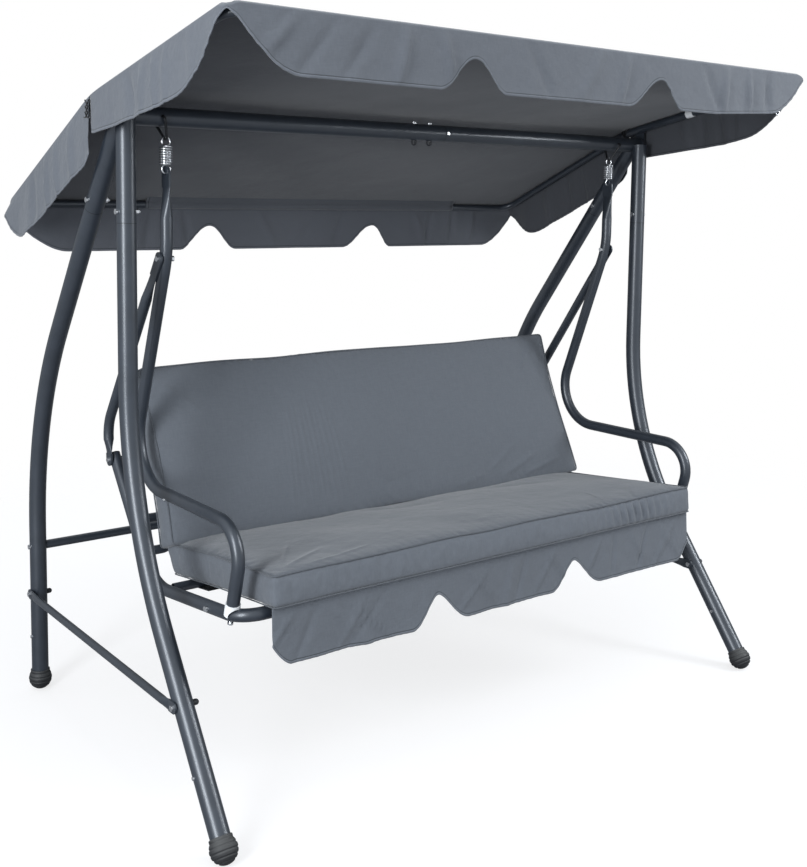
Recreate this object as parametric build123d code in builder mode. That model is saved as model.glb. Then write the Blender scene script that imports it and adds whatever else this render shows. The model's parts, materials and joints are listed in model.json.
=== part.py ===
from build123d import *
import os
from math import atan2, cos, degrees, hypot, pi, radians, sin, tan

os.makedirs("parts", exist_ok=True)

# Patio swing, in millimetres. +Z is up, the front of the seat faces -Y, and the origin is on the
# floor at the middle of the swing's outline. Heights are above the floor. Places called reach or
# rear are measured in Y from the overhead beam's axis.

# Overall layout
beam_y = -27.4
beam_height = 1664
frame_spacing = 1846
hanger_spacing = 1608
running_gap = 0.3
cut_overrun = 5

# Side frame tubes
leg_tube = 48
leg_wall = 1.5
front_leg_reach = -28
front_foot_reach = -509
front_bend_height = 686
rear_foot_reach = 627
rear_leg_bend_height = 828
leg_bend_radius = 1000
front_stub_length = 262
rear_stub_length = 286
neck_length = 60
neck_gap = 0.3
shoulder_length = 8
seam_bolt_rise = 28

# Ball feet
foot_ball = 66
foot_flat = 0.5
foot_collar_rise = 27
foot_collar_wall = 3.5
foot_socket_rise = 8
foot_screw_rise = 130

# Overhead beam
beam_tube = 48
beam_overhang = 4
beam_seam_x = 82
beam_neck = 140
beam_bolt_spacing = 56
beam_bolt_inset = 46
beam_screw_inset = 6
end_plug_depth = 30
end_plug_rim = 4

# Braces and crossbar
brace_tube = 20
brace_wall = 1.2
brace_height = 293
lug_thickness = 4
lug_width = 29
lug_reach = 22
lug_transition = 34
crossbar_tube = 25
crossbar_height = 436
crossbar_plug = 30

# Fasteners
bolt_diameter = 8
bolt_clearance = 0.3
head_diameter = 14
head_height = 5
nut_diameter = 14
nut_height = 6
cap_diameter = 15
cap_height = 15
screw_diameter = 5
screw_head = 9
screw_head_height = 3
foot_screw_grip = 6

# Hanger loops and springs
loop_rod = 7
loop_hole = 8
loop_splay = 23
loop_half_width = 38
loop_depth = 64
loop_top_radius = 8
loop_bottom_radius = 10
loop_end_gap = 2
spring_wire = 4.5
eye_radius = 11
coil_radius = 14.75
coil_pitch = 6.2
coil_turns = 7

# Arm tubes
arm_tube = 32
arm_wall = 1.5
plate_thickness = 5
plate_width = 40
plate_reach = 34
plate_transition = 75
eye_hole = 8
hanger_bend_height = 1322
hanger_bend_radius = 250
arm_back_reach = 231
arm_height = 706
arm_back_radius = 130
arm_front_reach = -390
arm_front_radius = 85
arm_foot_reach = -331
saddle_height = 14
saddle_diameter = 37

# Rear hangers
rear_tube = 28
rear_plate_width = 34
rear_plate_reach = 60
rear_plate_transition = 70
rear_low_reach = 18
rear_low_transition = 40
rear_top_reach = 6
rear_top_drop = 212.2822
rear_bend_reach = 336
rear_bend_height = 838
rear_bend_radius = 110
rail_top_reach = 329
rail_top_height = 738

# Seat frame
rail_tube = 32
rail_wall = 1.5
rail_corner_reach = 93
rail_corner_height = 441
rail_bend_radius = 150
rail_seam_reach = -288
rail_neck = 70
rail_bolt_rear = 53
seat_tilt = 6.3
front_rail_reach = -375
front_rail_radius = 60
cross_tube = 25
rear_rail_reach = 8
back_lean = 23
back_frame_spacing = 1430
back_frame_foot_rise = 96
back_frame_radius = 60
back_frame_foot_radius = 36
top_rail_height = 945
sling_thickness = 1.5
seat_sling_width = 1430
back_sling_width = 1390

# Cushions and skirt
cushion_width = 1500
seat_cushion_front_reach = -433
seat_cushion_rear_reach = 80
seat_cushion_height = 80
seat_crown = 7
cushion_side_draw = 9
cushion_edge = 13
back_cushion_width = 1530
back_cushion_height = 484
back_cushion_thickness = 76
back_cushion_foot = 1
back_crown = 9
skirt_drop = 144
skirt_notch_rise = 80
skirt_notch_width = 170
skirt_notch_spacing = 500
skirt_corner_rise = 70
skirt_corner_width = 42
skirt_setback = 14
skirt_inset = 4
skirt_thickness = 2
skirt_wave = 6
skirt_wave_length = 210

# Canopy frame
canopy_tube = 22
canopy_wall = 1.2
bracket_tube = 26
bracket_stand_off = 32
arms_spacing = frame_spacing + 2 * bracket_stand_off
canopy_corner_reach = 58
canopy_corner_height = 1706
canopy_front_rise = 11.3
canopy_rear_fall = 23.6
canopy_bend_radius = 350
canopy_front_length = 672
canopy_rear_length = 652
bracket_front_length = 262
bracket_rear_length = 78
bush_length = 26
bush_depth = 36
canopy_rail_radius = 50
canopy_rail_return = 80
canopy_neck = 40
pivot_plate_width = 34
pivot_plate_thickness = 4
pivot_bolt = 8
pivot_head_height = 4

# Canopy fabric
cover_thickness = 1.5
cover_side_overhang = 20
cover_width = arms_spacing + 2 * cover_side_overhang
front_overhang = 21
rear_overhang = 14
valance_thickness = 2
front_drop = 142
rear_drop = 150
side_drop = 134
valance_notch_rise = 74
valance_notch_width = 196
valance_notch_spacing = 650
valance_corner_rise = 105
valance_corner_width = 165
valance_slit = 14
slit_corner = 26
valance_wave = 8
valance_wave_length = 180
top_wave_share = 0.12
valance_setback = 3
tie_rod = 4
tie_knot = 12
tie_length = 34
tie_spread = 8
hook_wire = 3
hook_ring = 16
hook_inset = 90
hook_drop = 100

half_frame = frame_spacing / 2
half_hanger = hanger_spacing / 2
SIDES = {"left": -1, "right": 1}


def place(x, reach, height):
    """Point at a reach in Y from the beam axis."""
    return Vector(x, beam_y + reach, height)


def unit(start, end):
    """Direction from one point to another."""
    return (Vector(end) - Vector(start)).normalized()


def save(piece, name):
    """Label a finished piece and write its STEP file."""
    piece.part.label = name
    export_step(piece.part, f"parts/{name}.step")


def ring_tube(start, direction, length, outside, wall):
    """Add a straight round tube to the part being built."""
    with BuildSketch(Plane(origin=start, z_dir=direction)) as ring:
        Circle(outside / 2)
        Circle(outside / 2 - wall, mode=Mode.SUBTRACT)
    extrude(ring.sketch, amount=length)


def rod(start, direction, length, diameter, mode=Mode.ADD):
    """Add or cut a straight round rod."""
    with BuildSketch(Plane(origin=start, z_dir=direction)) as section:
        Circle(diameter / 2)
    extrude(section.sketch, amount=length, mode=mode)


def bent_tube(points, radii, outside, wall):
    """Add a round tube swept along straight runs joined by tangent bends."""
    with BuildLine() as route:
        FilletPolyline(*points, radius=radii)
    with BuildSketch(Plane(origin=route.line @ 0, z_dir=route.line % 0)) as section:
        Circle(outside / 2)
        if wall:
            Circle(outside / 2 - wall, mode=Mode.SUBTRACT)
    sweep(section.sketch, path=route.line)


def hole_along_x(centre, length, diameter):
    """Cut a round hole through a tube, across the swing."""
    start = Vector(centre) - Vector(length / 2, 0, 0)
    rod(start, (1, 0, 0), length, diameter, mode=Mode.SUBTRACT)


def flat_lug(centre, direction, width, thickness, reach, transition, tube, hole):
    """Add a tube's flattened end: a round-ended plate with a hole, then a taper to the tube."""
    run = Vector(direction)
    plate_plane = Plane(origin=centre, x_dir=run, z_dir=(1, 0, 0))
    with BuildSketch(plate_plane.offset(-thickness / 2)) as plate:
        Circle(width / 2)
        with Locations((reach / 2, 0)):
            Rectangle(reach, width)
    extrude(plate.sketch, amount=thickness)
    flat_plane = Plane(origin=Vector(centre) + run * reach, x_dir=(1, 0, 0), z_dir=run)
    with BuildSketch(flat_plane) as flat:
        Ellipse(thickness / 2, width / 2)
    with BuildSketch(flat_plane.offset(transition)) as round_end:
        Circle(tube / 2)
    loft([flat.sketch, round_end.sketch])
    hole_along_x(centre, width, hole)


def dome(base, direction, diameter, height):
    """Add a dome-ended cap that stands on a base point."""
    radius = diameter / 2
    rod(base, direction, height - radius, diameter)
    crown = Plane(origin=Vector(base) + Vector(direction) * (height - radius), z_dir=direction)
    profile_plane = Plane(origin=crown.origin, x_dir=crown.x_dir, z_dir=crown.y_dir * -1)
    with BuildSketch(profile_plane) as profile:
        with BuildLine():
            Line((0, 0), (radius, 0))
            CenterArc((0, 0), radius, 0, 90)
            Line((0, radius), (0, 0))
        make_face()
    revolve(profile.sketch, axis=Axis(crown.origin, crown.z_dir), revolution_arc=360)


def headed_bolt(head_seat, direction, grip, diameter, head, height):
    """Add a bolt: a head outside its seat and a shank that runs along the direction."""
    rod(head_seat, direction, grip, diameter)
    rod(head_seat, Vector(direction) * -1, height, head)


def nut(seat, direction, outside, hole, height):
    """Add a nut that rests on a seat."""
    with BuildSketch(Plane(origin=seat, z_dir=direction)) as section:
        RegularPolygon(outside / 2, 6)
        Circle(hole / 2, mode=Mode.SUBTRACT)
    extrude(section.sketch, amount=height)


# Side frames: the leg lines, seen from the side
rear_slope = unit((0, 0, beam_height), (0, rear_foot_reach, rear_leg_bend_height))
foot_height = foot_ball / 2 - foot_flat
front_slope = unit((0, front_leg_reach, front_bend_height), (0, front_foot_reach, foot_height))
front_seam_height = beam_height - front_stub_length
bore_clear = bolt_diameter + 2 * bolt_clearance
leg_bore = leg_tube - 2 * leg_wall
neck_outside = leg_bore - 2 * neck_gap


def front_seam(x):
    return place(x, front_leg_reach, front_seam_height)


def rear_seam(x):
    return place(x, 0, beam_height) + rear_slope * rear_stub_length


def on_front_leg(x, height):
    """Axis of the front leg's lower run at a height."""
    share = (front_bend_height - height) / (front_bend_height - foot_height)
    reach = front_leg_reach + (front_foot_reach - front_leg_reach) * share
    return place(x, reach, height)


def on_rear_leg(x, height):
    return place(x, rear_foot_reach, height)


def seam_bolt_points(x):
    """Centres of the two bolts above a side frame's leg seams."""
    front = front_seam(x) + Vector(0, 0, seam_bolt_rise)
    rear = rear_seam(x) - rear_slope * seam_bolt_rise
    return [front, rear]


foot_up = {"front": front_slope * -1, "rear": Vector(0, 0, 1)}


def make_head(name, x):
    """Upper side frame: two stubs welded together, coped to the underside of the beam."""
    with BuildPart() as head:
        rod(front_seam(x), (0, 0, 1), front_stub_length, leg_tube)
        rod(rear_seam(x), rear_slope * -1, rear_stub_length, leg_tube)
        bore_stop = beam_tube / 2 + leg_tube / 2
        rod(front_seam(x), (0, 0, 1), front_stub_length - bore_stop, leg_bore, Mode.SUBTRACT)
        rod(rear_seam(x), rear_slope * -1, rear_stub_length - bore_stop, leg_bore, Mode.SUBTRACT)
        hole_along_x(place(x, 0, beam_height), leg_tube + 2 * cut_overrun, beam_tube)
        with BuildSketch(Plane.XY.offset(beam_height)):
            with Locations((x, beam_y)):
                Rectangle(leg_tube + 2 * cut_overrun, 2 * beam_tube + 2 * leg_tube)
        extrude(amount=leg_tube, mode=Mode.SUBTRACT)
        for point in seam_bolt_points(x):
            hole_along_x(point, leg_tube + 2 * cut_overrun, bore_clear)
    save(head, name)


def neck(seam, up):
    """Swaged end of a leg inside its stub, with the shoulder that carries it."""
    wall = leg_wall + neck_gap + leg_wall
    ring_tube(seam - up * shoulder_length, up, shoulder_length, leg_tube, wall)
    ring_tube(seam, up, neck_length, neck_outside, leg_wall)


def make_front_leg(name, x):
    with BuildPart() as leg:
        corner = place(x, front_leg_reach, front_bend_height)
        foot = place(x, front_foot_reach, foot_height)
        end = foot + unit(foot, corner) * foot_socket_rise
        bent_tube([front_seam(x), corner, end], leg_bend_radius, leg_tube, leg_wall)
        neck(front_seam(x), Vector(0, 0, 1))
        hole_along_x(seam_bolt_points(x)[0], leg_tube + 2 * cut_overrun, bore_clear)
        hole_along_x(on_front_leg(x, brace_height), leg_tube + 2 * cut_overrun, bore_clear)
        screw = on_front_leg(x - leg_tube / 2, foot_height + foot_screw_rise)
        hole_along_x(screw, leg_tube, screw_diameter + bolt_clearance)
    save(leg, name)


def make_rear_leg(name, x):
    with BuildPart() as leg:
        corner = place(x, rear_foot_reach, rear_leg_bend_height)
        end = place(x, rear_foot_reach, foot_height + foot_socket_rise)
        bent_tube([rear_seam(x), corner, end], leg_bend_radius, leg_tube, leg_wall)
        neck(rear_seam(x), rear_slope * -1)
        hole_along_x(seam_bolt_points(x)[1], leg_tube + 2 * cut_overrun, bore_clear)
        hole_along_x(on_rear_leg(x, brace_height), leg_tube + 2 * cut_overrun, bore_clear)
        hole_along_x(on_rear_leg(x, crossbar_height), leg_tube + 2 * cut_overrun, bore_clear)
        screw = on_rear_leg(x - leg_tube / 2, foot_height + foot_screw_rise)
        hole_along_x(screw, leg_tube, screw_diameter + bolt_clearance)
    save(leg, name)


def ball_foot(centre, up):
    """Add a rubber ball with a socket for the leg and a flat on the floor."""
    radius = foot_ball / 2
    collar = leg_tube / 2 + foot_collar_wall
    side = Vector(1, 0, 0)
    turned = Plane(origin=centre, x_dir=side, z_dir=side.cross(up))
    inner = leg_tube / 2
    ball_angle = degrees(atan2((radius ** 2 - collar ** 2) ** 0.5, collar))
    with BuildSketch(turned) as profile:
        with BuildLine():
            Line((0, -radius), (0, foot_socket_rise))
            Line((0, foot_socket_rise), (inner, foot_socket_rise))
            Line((inner, foot_socket_rise), (inner, foot_collar_rise))
            Line((inner, foot_collar_rise), (collar, foot_collar_rise))
            Line((collar, foot_collar_rise), (collar, radius * sin(radians(ball_angle))))
            CenterArc((0, 0), radius, -90, 90 + ball_angle)
        make_face()
    revolve(profile.sketch, axis=Axis(centre, up), revolution_arc=360)
    with BuildSketch(Plane(origin=(centre.X, centre.Y, 0), z_dir=(0, 0, -1))) as floor:
        Rectangle(foot_ball, foot_ball)
    extrude(floor.sketch, amount=foot_ball, mode=Mode.SUBTRACT)


def make_feet(name, end, reach):
    with BuildPart() as feet:
        for side in SIDES.values():
            ball_foot(place(side * half_frame, reach, foot_height), foot_up[end])
    save(feet, name)


def make_brace(name, x):
    """Thin tube with flattened ends on the left face of both legs of a side frame."""
    plate_x = x - leg_tube / 2 - lug_thickness / 2
    front = on_front_leg(plate_x, brace_height)
    rear = on_rear_leg(plate_x, brace_height)
    with BuildPart() as brace:
        flat_lug(front, (0, 1, 0), lug_width, lug_thickness, lug_reach, lug_transition,
                 brace_tube, bore_clear)
        flat_lug(rear, (0, -1, 0), lug_width, lug_thickness, lug_reach, lug_transition,
                 brace_tube, bore_clear)
        inset = lug_reach + lug_transition
        length = (rear - front).length - 2 * inset
        ring_tube(front + Vector(0, inset, 0), (0, 1, 0), length, brace_tube, brace_wall)
    save(brace, name)


for side_name, side in SIDES.items():
    frame_x = side * half_frame
    make_head(f"head_{side_name}", frame_x)
    make_front_leg(f"front_leg_{side_name}", frame_x)
    make_rear_leg(f"rear_leg_{side_name}", frame_x)
    make_brace(f"side_brace_{side_name}", frame_x)
make_feet("front_feet", "front", front_foot_reach)
make_feet("rear_feet", "rear", rear_foot_reach)

# Fasteners of the side frames: heads on the left face of the tubes, nuts and caps on the right
leg_face = Vector(leg_tube / 2, 0, 0)
across = Vector(1, 0, 0)

with BuildPart() as leg_bolts:
    for side in SIDES.values():
        for point in seam_bolt_points(side * half_frame):
            headed_bolt(point - leg_face, across, leg_tube + nut_height + cut_overrun,
                        bolt_diameter, head_diameter, head_height)
save(leg_bolts, "leg_bolts")

with BuildPart() as leg_nuts:
    for side in SIDES.values():
        for point in seam_bolt_points(side * half_frame):
            nut(point + leg_face, across, nut_diameter, bolt_diameter, nut_height)
save(leg_nuts, "leg_nuts")


def brace_points(x):
    return [on_front_leg(x, brace_height), on_rear_leg(x, brace_height)]


with BuildPart() as brace_bolts:
    for side in SIDES.values():
        for point in brace_points(side * half_frame):
            head_seat = point - leg_face - across * lug_thickness
            headed_bolt(head_seat, across, lug_thickness + leg_tube, bolt_diameter,
                        head_diameter, head_height)
save(brace_bolts, "brace_bolts")

with BuildPart() as brace_bolt_caps:
    for side in SIDES.values():
        for point in brace_points(side * half_frame):
            dome(point + leg_face, across, cap_diameter, cap_height)
save(brace_bolt_caps, "brace_bolt_caps")

# Rear crossbar between the two rear legs
crossbar_end = half_frame - leg_tube / 2
crossbar_bore = crossbar_tube - 2 * brace_wall

with BuildPart() as rear_crossbar:
    ring_tube(on_rear_leg(-half_frame, crossbar_height), across, frame_spacing,
              crossbar_tube, brace_wall)
    for side in SIDES.values():
        rod(place(side * half_frame, rear_foot_reach, crossbar_height - leg_tube),
            (0, 0, 1), 2 * leg_tube, leg_tube, Mode.SUBTRACT)
    with BuildSketch(Plane.XZ.offset(-beam_y - rear_foot_reach - leg_tube)):
        for side in SIDES.values():
            with Locations((side * (half_frame + leg_tube / 2), crossbar_height)):
                Rectangle(leg_tube, leg_tube)
    extrude(amount=2 * leg_tube, mode=Mode.SUBTRACT)
save(rear_crossbar, "rear_crossbar")

with BuildPart() as crossbar_plugs:
    for side in SIDES.values():
        start = on_rear_leg(side * crossbar_end, crossbar_height)
        rod(start, across * -side, crossbar_plug, crossbar_bore)
        rod(start, across * -side, crossbar_plug, bolt_diameter, Mode.SUBTRACT)
save(crossbar_plugs, "crossbar_plugs")

with BuildPart() as crossbar_bolts:
    for side in SIDES.values():
        seat = on_rear_leg(side * (half_frame + leg_tube / 2), crossbar_height)
        headed_bolt(seat, across * -side, leg_tube + crossbar_plug, bolt_diameter,
                    head_diameter, head_height)
save(crossbar_bolts, "crossbar_bolts")

# Places of the hanger loops, which lean inward below the beam
loop_lean = atan2(loop_splay, loop_depth)
loop_half_angle = atan2(loop_half_width, hypot(loop_splay, loop_depth))
loop_corner_rise = loop_bottom_radius * (1 / sin(loop_half_angle) - 1)
loop_corner_height = beam_height - loop_depth
loop_bottom = loop_corner_height + loop_corner_rise * cos(loop_lean)
loop_corner_x = half_hanger - loop_corner_rise * sin(loop_lean)
loop_beam_x = loop_corner_x + loop_splay

# Overhead beam in two tubes; the right one is swaged into the left one
beam_end = half_frame + leg_tube / 2 + beam_overhang
beam_bore = beam_tube - 2 * leg_wall
beam_bolt_x = [beam_seam_x - beam_bolt_inset - place_index * beam_bolt_spacing
               for place_index in range(2)]
beam_bottom = beam_height - beam_tube / 2
beam_top = beam_height + beam_tube / 2


def beam_point(x):
    return place(x, 0, beam_height)


def cut_loop_hole(x):
    rod(place(x, -beam_tube, beam_height), (0, 1, 0), 2 * beam_tube, loop_hole, Mode.SUBTRACT)


def cut_beam_bolts():
    for x in beam_bolt_x:
        rod(place(x, 0, beam_bottom - cut_overrun), (0, 0, 1), beam_tube + 2 * cut_overrun,
            bore_clear, Mode.SUBTRACT)


with BuildPart() as beam_left:
    ring_tube(beam_point(-beam_end), across, beam_end + beam_seam_x, beam_tube, leg_wall)
    cut_loop_hole(-loop_beam_x)
    cut_beam_bolts()
save(beam_left, "beam_left")

with BuildPart() as beam_right:
    ring_tube(beam_point(beam_seam_x), across, beam_end - beam_seam_x, beam_tube, leg_wall)
    ring_tube(beam_point(beam_seam_x), across, shoulder_length, beam_tube,
              2 * leg_wall + neck_gap)
    ring_tube(beam_point(beam_seam_x), across * -1, beam_neck, beam_bore - 2 * neck_gap, leg_wall)
    cut_loop_hole(loop_beam_x)
    cut_beam_bolts()
    screw_place = place(beam_seam_x + beam_screw_inset, -beam_tube / 2, beam_height)
    rod(screw_place - Vector(0, cut_overrun, 0), (0, 1, 0), cut_overrun + 3 * leg_wall,
        screw_diameter + bolt_clearance, Mode.SUBTRACT)
save(beam_right, "beam_right")

with BuildPart() as beam_bolts:
    for x in beam_bolt_x:
        headed_bolt(place(x, 0, beam_top), (0, 0, -1), beam_tube, bolt_diameter,
                    head_diameter, head_height)
save(beam_bolts, "beam_bolts")

with BuildPart() as beam_bolt_caps:
    for x in beam_bolt_x:
        dome(place(x, 0, beam_bottom), (0, 0, -1), cap_diameter, cap_height)
save(beam_bolt_caps, "beam_bolt_caps")

with BuildPart() as frame_screws:
    headed_bolt(screw_place, (0, 1, 0), 2 * leg_wall, screw_diameter, screw_head,
                screw_head_height)
    for side in SIDES.values():
        for leg_point in (on_front_leg, on_rear_leg):
            seat = leg_point(side * half_frame, foot_height + foot_screw_rise) - leg_face
            headed_bolt(seat, across, foot_screw_grip, screw_diameter, screw_head,
                        screw_head_height)
save(frame_screws, "frame_screws")

with BuildPart() as beam_end_plugs:
    for side in SIDES.values():
        outward = across * side
        rod(beam_point(side * beam_end), outward * -1, end_plug_depth, beam_bore)
        rod(beam_point(side * beam_end), outward, end_plug_rim, beam_tube)
        rod(beam_point(side * (beam_end + end_plug_rim)), outward * -1,
            end_plug_depth + end_plug_rim, pivot_bolt, Mode.SUBTRACT)
save(beam_end_plugs, "beam_end_plugs")

# Hanger loops: bent rods through the beam, which meet below it in a narrow V that leans inward


def make_hanger_loop(name, side):
    top_x = side * loop_beam_x
    points = [
        place(top_x, -loop_end_gap / 2, beam_height),
        place(top_x, -loop_half_width, beam_height),
        place(side * loop_corner_x, 0, loop_corner_height),
        place(top_x, loop_half_width, beam_height),
        place(top_x, loop_end_gap / 2, beam_height),
    ]
    radii = [loop_top_radius, loop_bottom_radius, loop_top_radius]
    with BuildPart() as loop:
        bent_tube(points, radii, loop_rod, 0)
    save(loop, name)


# Springs: an eye, a half turn out to the coil, the coil, a half turn in, and the lower eye
hinge_height = loop_bottom + loop_rod / 2 + running_gap + spring_wire / 2
eye_bottom = hinge_height - 2 * eye_radius
coil_slope = coil_pitch / (2 * pi * coil_radius)
half_turn_drop = pi * coil_radius / 2 * coil_slope
coil_drop = coil_pitch * coil_turns
lower_eye_top = eye_bottom - 2 * half_turn_drop - coil_drop
lower_eye_bottom = lower_eye_top - 2 * eye_radius


def turning_point(x, centre_y, radius, angle, height):
    """Point and direction on a falling turn about an upright axis."""
    turn = radians(angle)
    point = Vector(x + radius * cos(turn), beam_y + centre_y + radius * sin(turn), height)
    heading = Vector(-sin(turn), cos(turn), -coil_slope).normalized()
    return point, heading


def eye_point(x, centre_height, angle, turn):
    """Point and direction on an eye in the XZ plane; turn is 1 anticlockwise."""
    around = radians(angle)
    point = Vector(x + eye_radius * cos(around), beam_y, centre_height + eye_radius * sin(around))
    heading = Vector(-sin(around), 0, cos(around)) * turn
    return point, heading


def spring_stations(x):
    """Points and directions along the wire, a quarter turn apart or less."""
    stations = [eye_point(x, hinge_height - eye_radius, angle, -1)
                for angle in (215, 150, 90, 30, -30)]
    stations.append(turning_point(x, -coil_radius / 2, coil_radius / 2, 90, eye_bottom))
    stations.append(turning_point(x, -coil_radius / 2, coil_radius / 2, 180,
                                  eye_bottom - half_turn_drop / 2))
    for quarter in range(4 * coil_turns + 1):
        height = eye_bottom - half_turn_drop - coil_pitch * quarter / 4
        stations.append(turning_point(x, 0, coil_radius, 270 + 90 * quarter, height))
    stations.append(turning_point(x, -coil_radius / 2, coil_radius / 2, 0,
                                  lower_eye_top + half_turn_drop / 2))
    stations.append(turning_point(x, -coil_radius / 2, coil_radius / 2, 90, lower_eye_top))
    stations += [eye_point(x, lower_eye_top - eye_radius, angle, 1)
                 for angle in (150, 210, 270, 330, 385)]
    return stations


def biarc(start, end):
    """Two arcs that join two points in the given directions."""
    (first, leaving), (last, arriving) = start, end
    chord = last - first
    both = leaving + arriving
    square = 2 * (1 - leaving.dot(arriving))
    along = chord.dot(both)
    reach = chord.dot(chord)
    if square < 1e-6:
        arm = reach / (2 * along)
    else:
        arm = (-along + (along ** 2 + square * reach) ** 0.5) / square
    near = first + leaving * arm
    far = last - arriving * arm
    middle = (near + far) * 0.5
    TangentArc(first, middle, tangent=leaving)
    TangentArc(middle, last, tangent=(far - near).normalized())


def make_spring(name, side):
    stations = spring_stations(side * half_hanger)
    with BuildPart() as spring:
        with BuildLine() as wire:
            for start, end in zip(stations[:-1], stations[1:]):
                biarc(start, end)
        with BuildSketch(Plane(origin=stations[0][0], z_dir=stations[0][1])):
            Circle(spring_wire / 2)
        sweep(path=wire.line)
    save(spring, name)
    return wire.wires()[0]


def self_gap(line, step):
    """Least gap between stretches of the wire that are over one turn's share apart."""
    count = int(line.length / step)
    points = [line @ (index / count) for index in range(count + 1)]
    apart = int(4 * spring_wire / step)
    least = min((points[low] - points[high]).length
                for low in range(count + 1)
                for high in range(low + apart, count + 1))
    return least - spring_wire


for side_name, side in SIDES.items():
    make_hanger_loop(f"hanger_loop_{side_name}", side)
    spring_line = make_spring(f"spring_{side_name}", side)
print("spring self gap", round(self_gap(spring_line, spring_wire / 2), 2))

# Seat unit: the seat plane rises to the front, the back plane leans to the rear
tilt = radians(seat_tilt)
lean = radians(back_lean)
seat_forward = Vector(0, -cos(tilt), sin(tilt))
seat_up = Vector(0, sin(tilt), cos(tilt))
back_up = Vector(0, sin(lean), cos(lean))
back_forward = Vector(0, -cos(lean), sin(lean))
rail_bore = rail_tube - 2 * rail_wall
rail_neck_outside = rail_bore - 2 * neck_gap
rail_inner_x = half_hanger - rail_tube / 2
lug_x = half_hanger + rail_tube / 2 + plate_thickness / 2


def on_rail(x, reach):
    """Axis of a side rail's seat run at a reach."""
    height = rail_corner_height + (rail_corner_reach - reach) * tan(tilt)
    return place(x, reach, height)


rail_corner = on_rail(0, rail_corner_reach)
rail_top = place(0, rail_top_reach, rail_top_height)
rail_rise = unit(rail_corner, rail_top)
back_foot = rail_corner + rail_rise * back_frame_foot_rise
eye_height = lower_eye_bottom + spring_wire / 2 + 2 * running_gap - eye_hole / 2
rear_top_height = eye_height - rear_top_drop
arm_corner = Vector(0, beam_y + arm_front_reach, arm_height)
arm_foot_line = unit(arm_corner, on_rail(0, arm_foot_reach))
saddle_reach = rail_tube / 2 + saddle_height
saddle_spigot = arm_tube - 2 * arm_wall - 2 * neck_gap
arm_skew = radians(arm_foot_line.get_angle(seat_up * -1))
arm_head_seat = (rail_tube + head_diameter * sin(arm_skew)) / (2 * cos(arm_skew))


def shifted(x, point):
    """The same place in side view at another X."""
    return Vector(x, point.Y, point.Z)


def arm_screw_line(side):
    """Direction in which an armrest's screw head faces: outward and down."""
    return Vector(side, 0, -1).normalized()


def arm_screw_seat(side):
    return place(side * half_hanger, 0, arm_height) + arm_screw_line(side) * arm_tube / 2


def make_arm_tube(name, side):
    """Hanger and armrest in one bent tube, with a flattened, holed top end."""
    x = side * half_hanger
    with BuildPart() as arm:
        eye = place(x, 0, eye_height)
        flat_lug(eye, (0, 0, -1), plate_width, plate_thickness, plate_reach, plate_transition,
                 arm_tube, eye_hole)
        points = [
            eye - Vector(0, 0, plate_reach + plate_transition),
            place(x, 0, hanger_bend_height),
            place(x, arm_back_reach, arm_height),
            place(x, arm_front_reach, arm_height),
            on_rail(x, arm_foot_reach) - arm_foot_line * saddle_reach,
        ]
        radii = [hanger_bend_radius, arm_back_radius, arm_front_radius]
        bent_tube(points, radii, arm_tube, arm_wall)
        hole_along_x(place(x, rear_top_reach, rear_top_height), 2 * arm_tube, bore_clear)
        rod(arm_screw_seat(side), arm_screw_line(side) * -1, 3 * arm_wall,
            screw_diameter + bolt_clearance, Mode.SUBTRACT)
    save(arm, name)


def make_rear_hanger(name, side):
    """Tube with flattened ends on the outer side of the arm tube and the side rail."""
    x = side * lug_x
    top = place(x, rear_top_reach, rear_top_height)
    corner = place(x, rear_bend_reach, rear_bend_height)
    low = shifted(x, rail_top)
    with BuildPart() as hanger:
        down = unit(top, corner)
        up = unit(low, corner)
        flat_lug(top, down, rear_plate_width, plate_thickness, rear_plate_reach,
                 rear_plate_transition, rear_tube, bore_clear)
        flat_lug(low, up, rear_plate_width, plate_thickness, rear_low_reach,
                 rear_low_transition, rear_tube, bore_clear)
        points = [
            top + down * (rear_plate_reach + rear_plate_transition),
            corner,
            low + up * (rear_low_reach + rear_low_transition),
        ]
        bent_tube(points, rear_bend_radius, rear_tube, arm_wall)
    save(hanger, name)


def make_side_rail(name, x):
    with BuildPart() as rail:
        top_end = shifted(x, rail_top + rail_rise * rear_plate_width / 2)
        points = [top_end, shifted(x, rail_corner), on_rail(x, rail_seam_reach)]
        bent_tube(points, rail_bend_radius, rail_tube, rail_wall)
        hole_along_x(shifted(x, rail_top), 2 * rail_tube, bore_clear)
        hole_along_x(on_rail(x, rail_seam_reach + rail_bolt_rear), 2 * rail_tube, bore_clear)
        hole_along_x(shifted(x, back_foot), 2 * rail_tube, bore_clear)
    save(rail, name)


for side_name, side in SIDES.items():
    make_arm_tube(f"arm_tube_{side_name}", side)
    make_rear_hanger(f"rear_hanger_{side_name}", side)
    make_side_rail(f"side_rail_{side_name}", side * half_hanger)

rail_points = [
    on_rail(-half_hanger, rail_seam_reach),
    on_rail(-half_hanger, front_rail_reach),
    on_rail(half_hanger, front_rail_reach),
    on_rail(half_hanger, rail_seam_reach),
]

with BuildPart() as front_rail:
    bent_tube(rail_points, front_rail_radius, rail_tube, rail_wall)
    for side in SIDES.values():
        seam = on_rail(side * half_hanger, rail_seam_reach)
        ring_tube(seam, seat_forward, shoulder_length, rail_tube, 2 * rail_wall + neck_gap)
        ring_tube(seam, seat_forward * -1, rail_neck, rail_neck_outside, rail_wall)
        bolt_place = on_rail(side * half_hanger, rail_seam_reach + rail_bolt_rear)
        hole_along_x(bolt_place, 2 * rail_tube, bore_clear)
        under = on_rail(side * half_hanger, arm_foot_reach) + arm_foot_line * rail_tube
        rod(under, arm_foot_line * -1, 2 * rail_tube, bore_clear, Mode.SUBTRACT)
save(front_rail, "front_rail")

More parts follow.
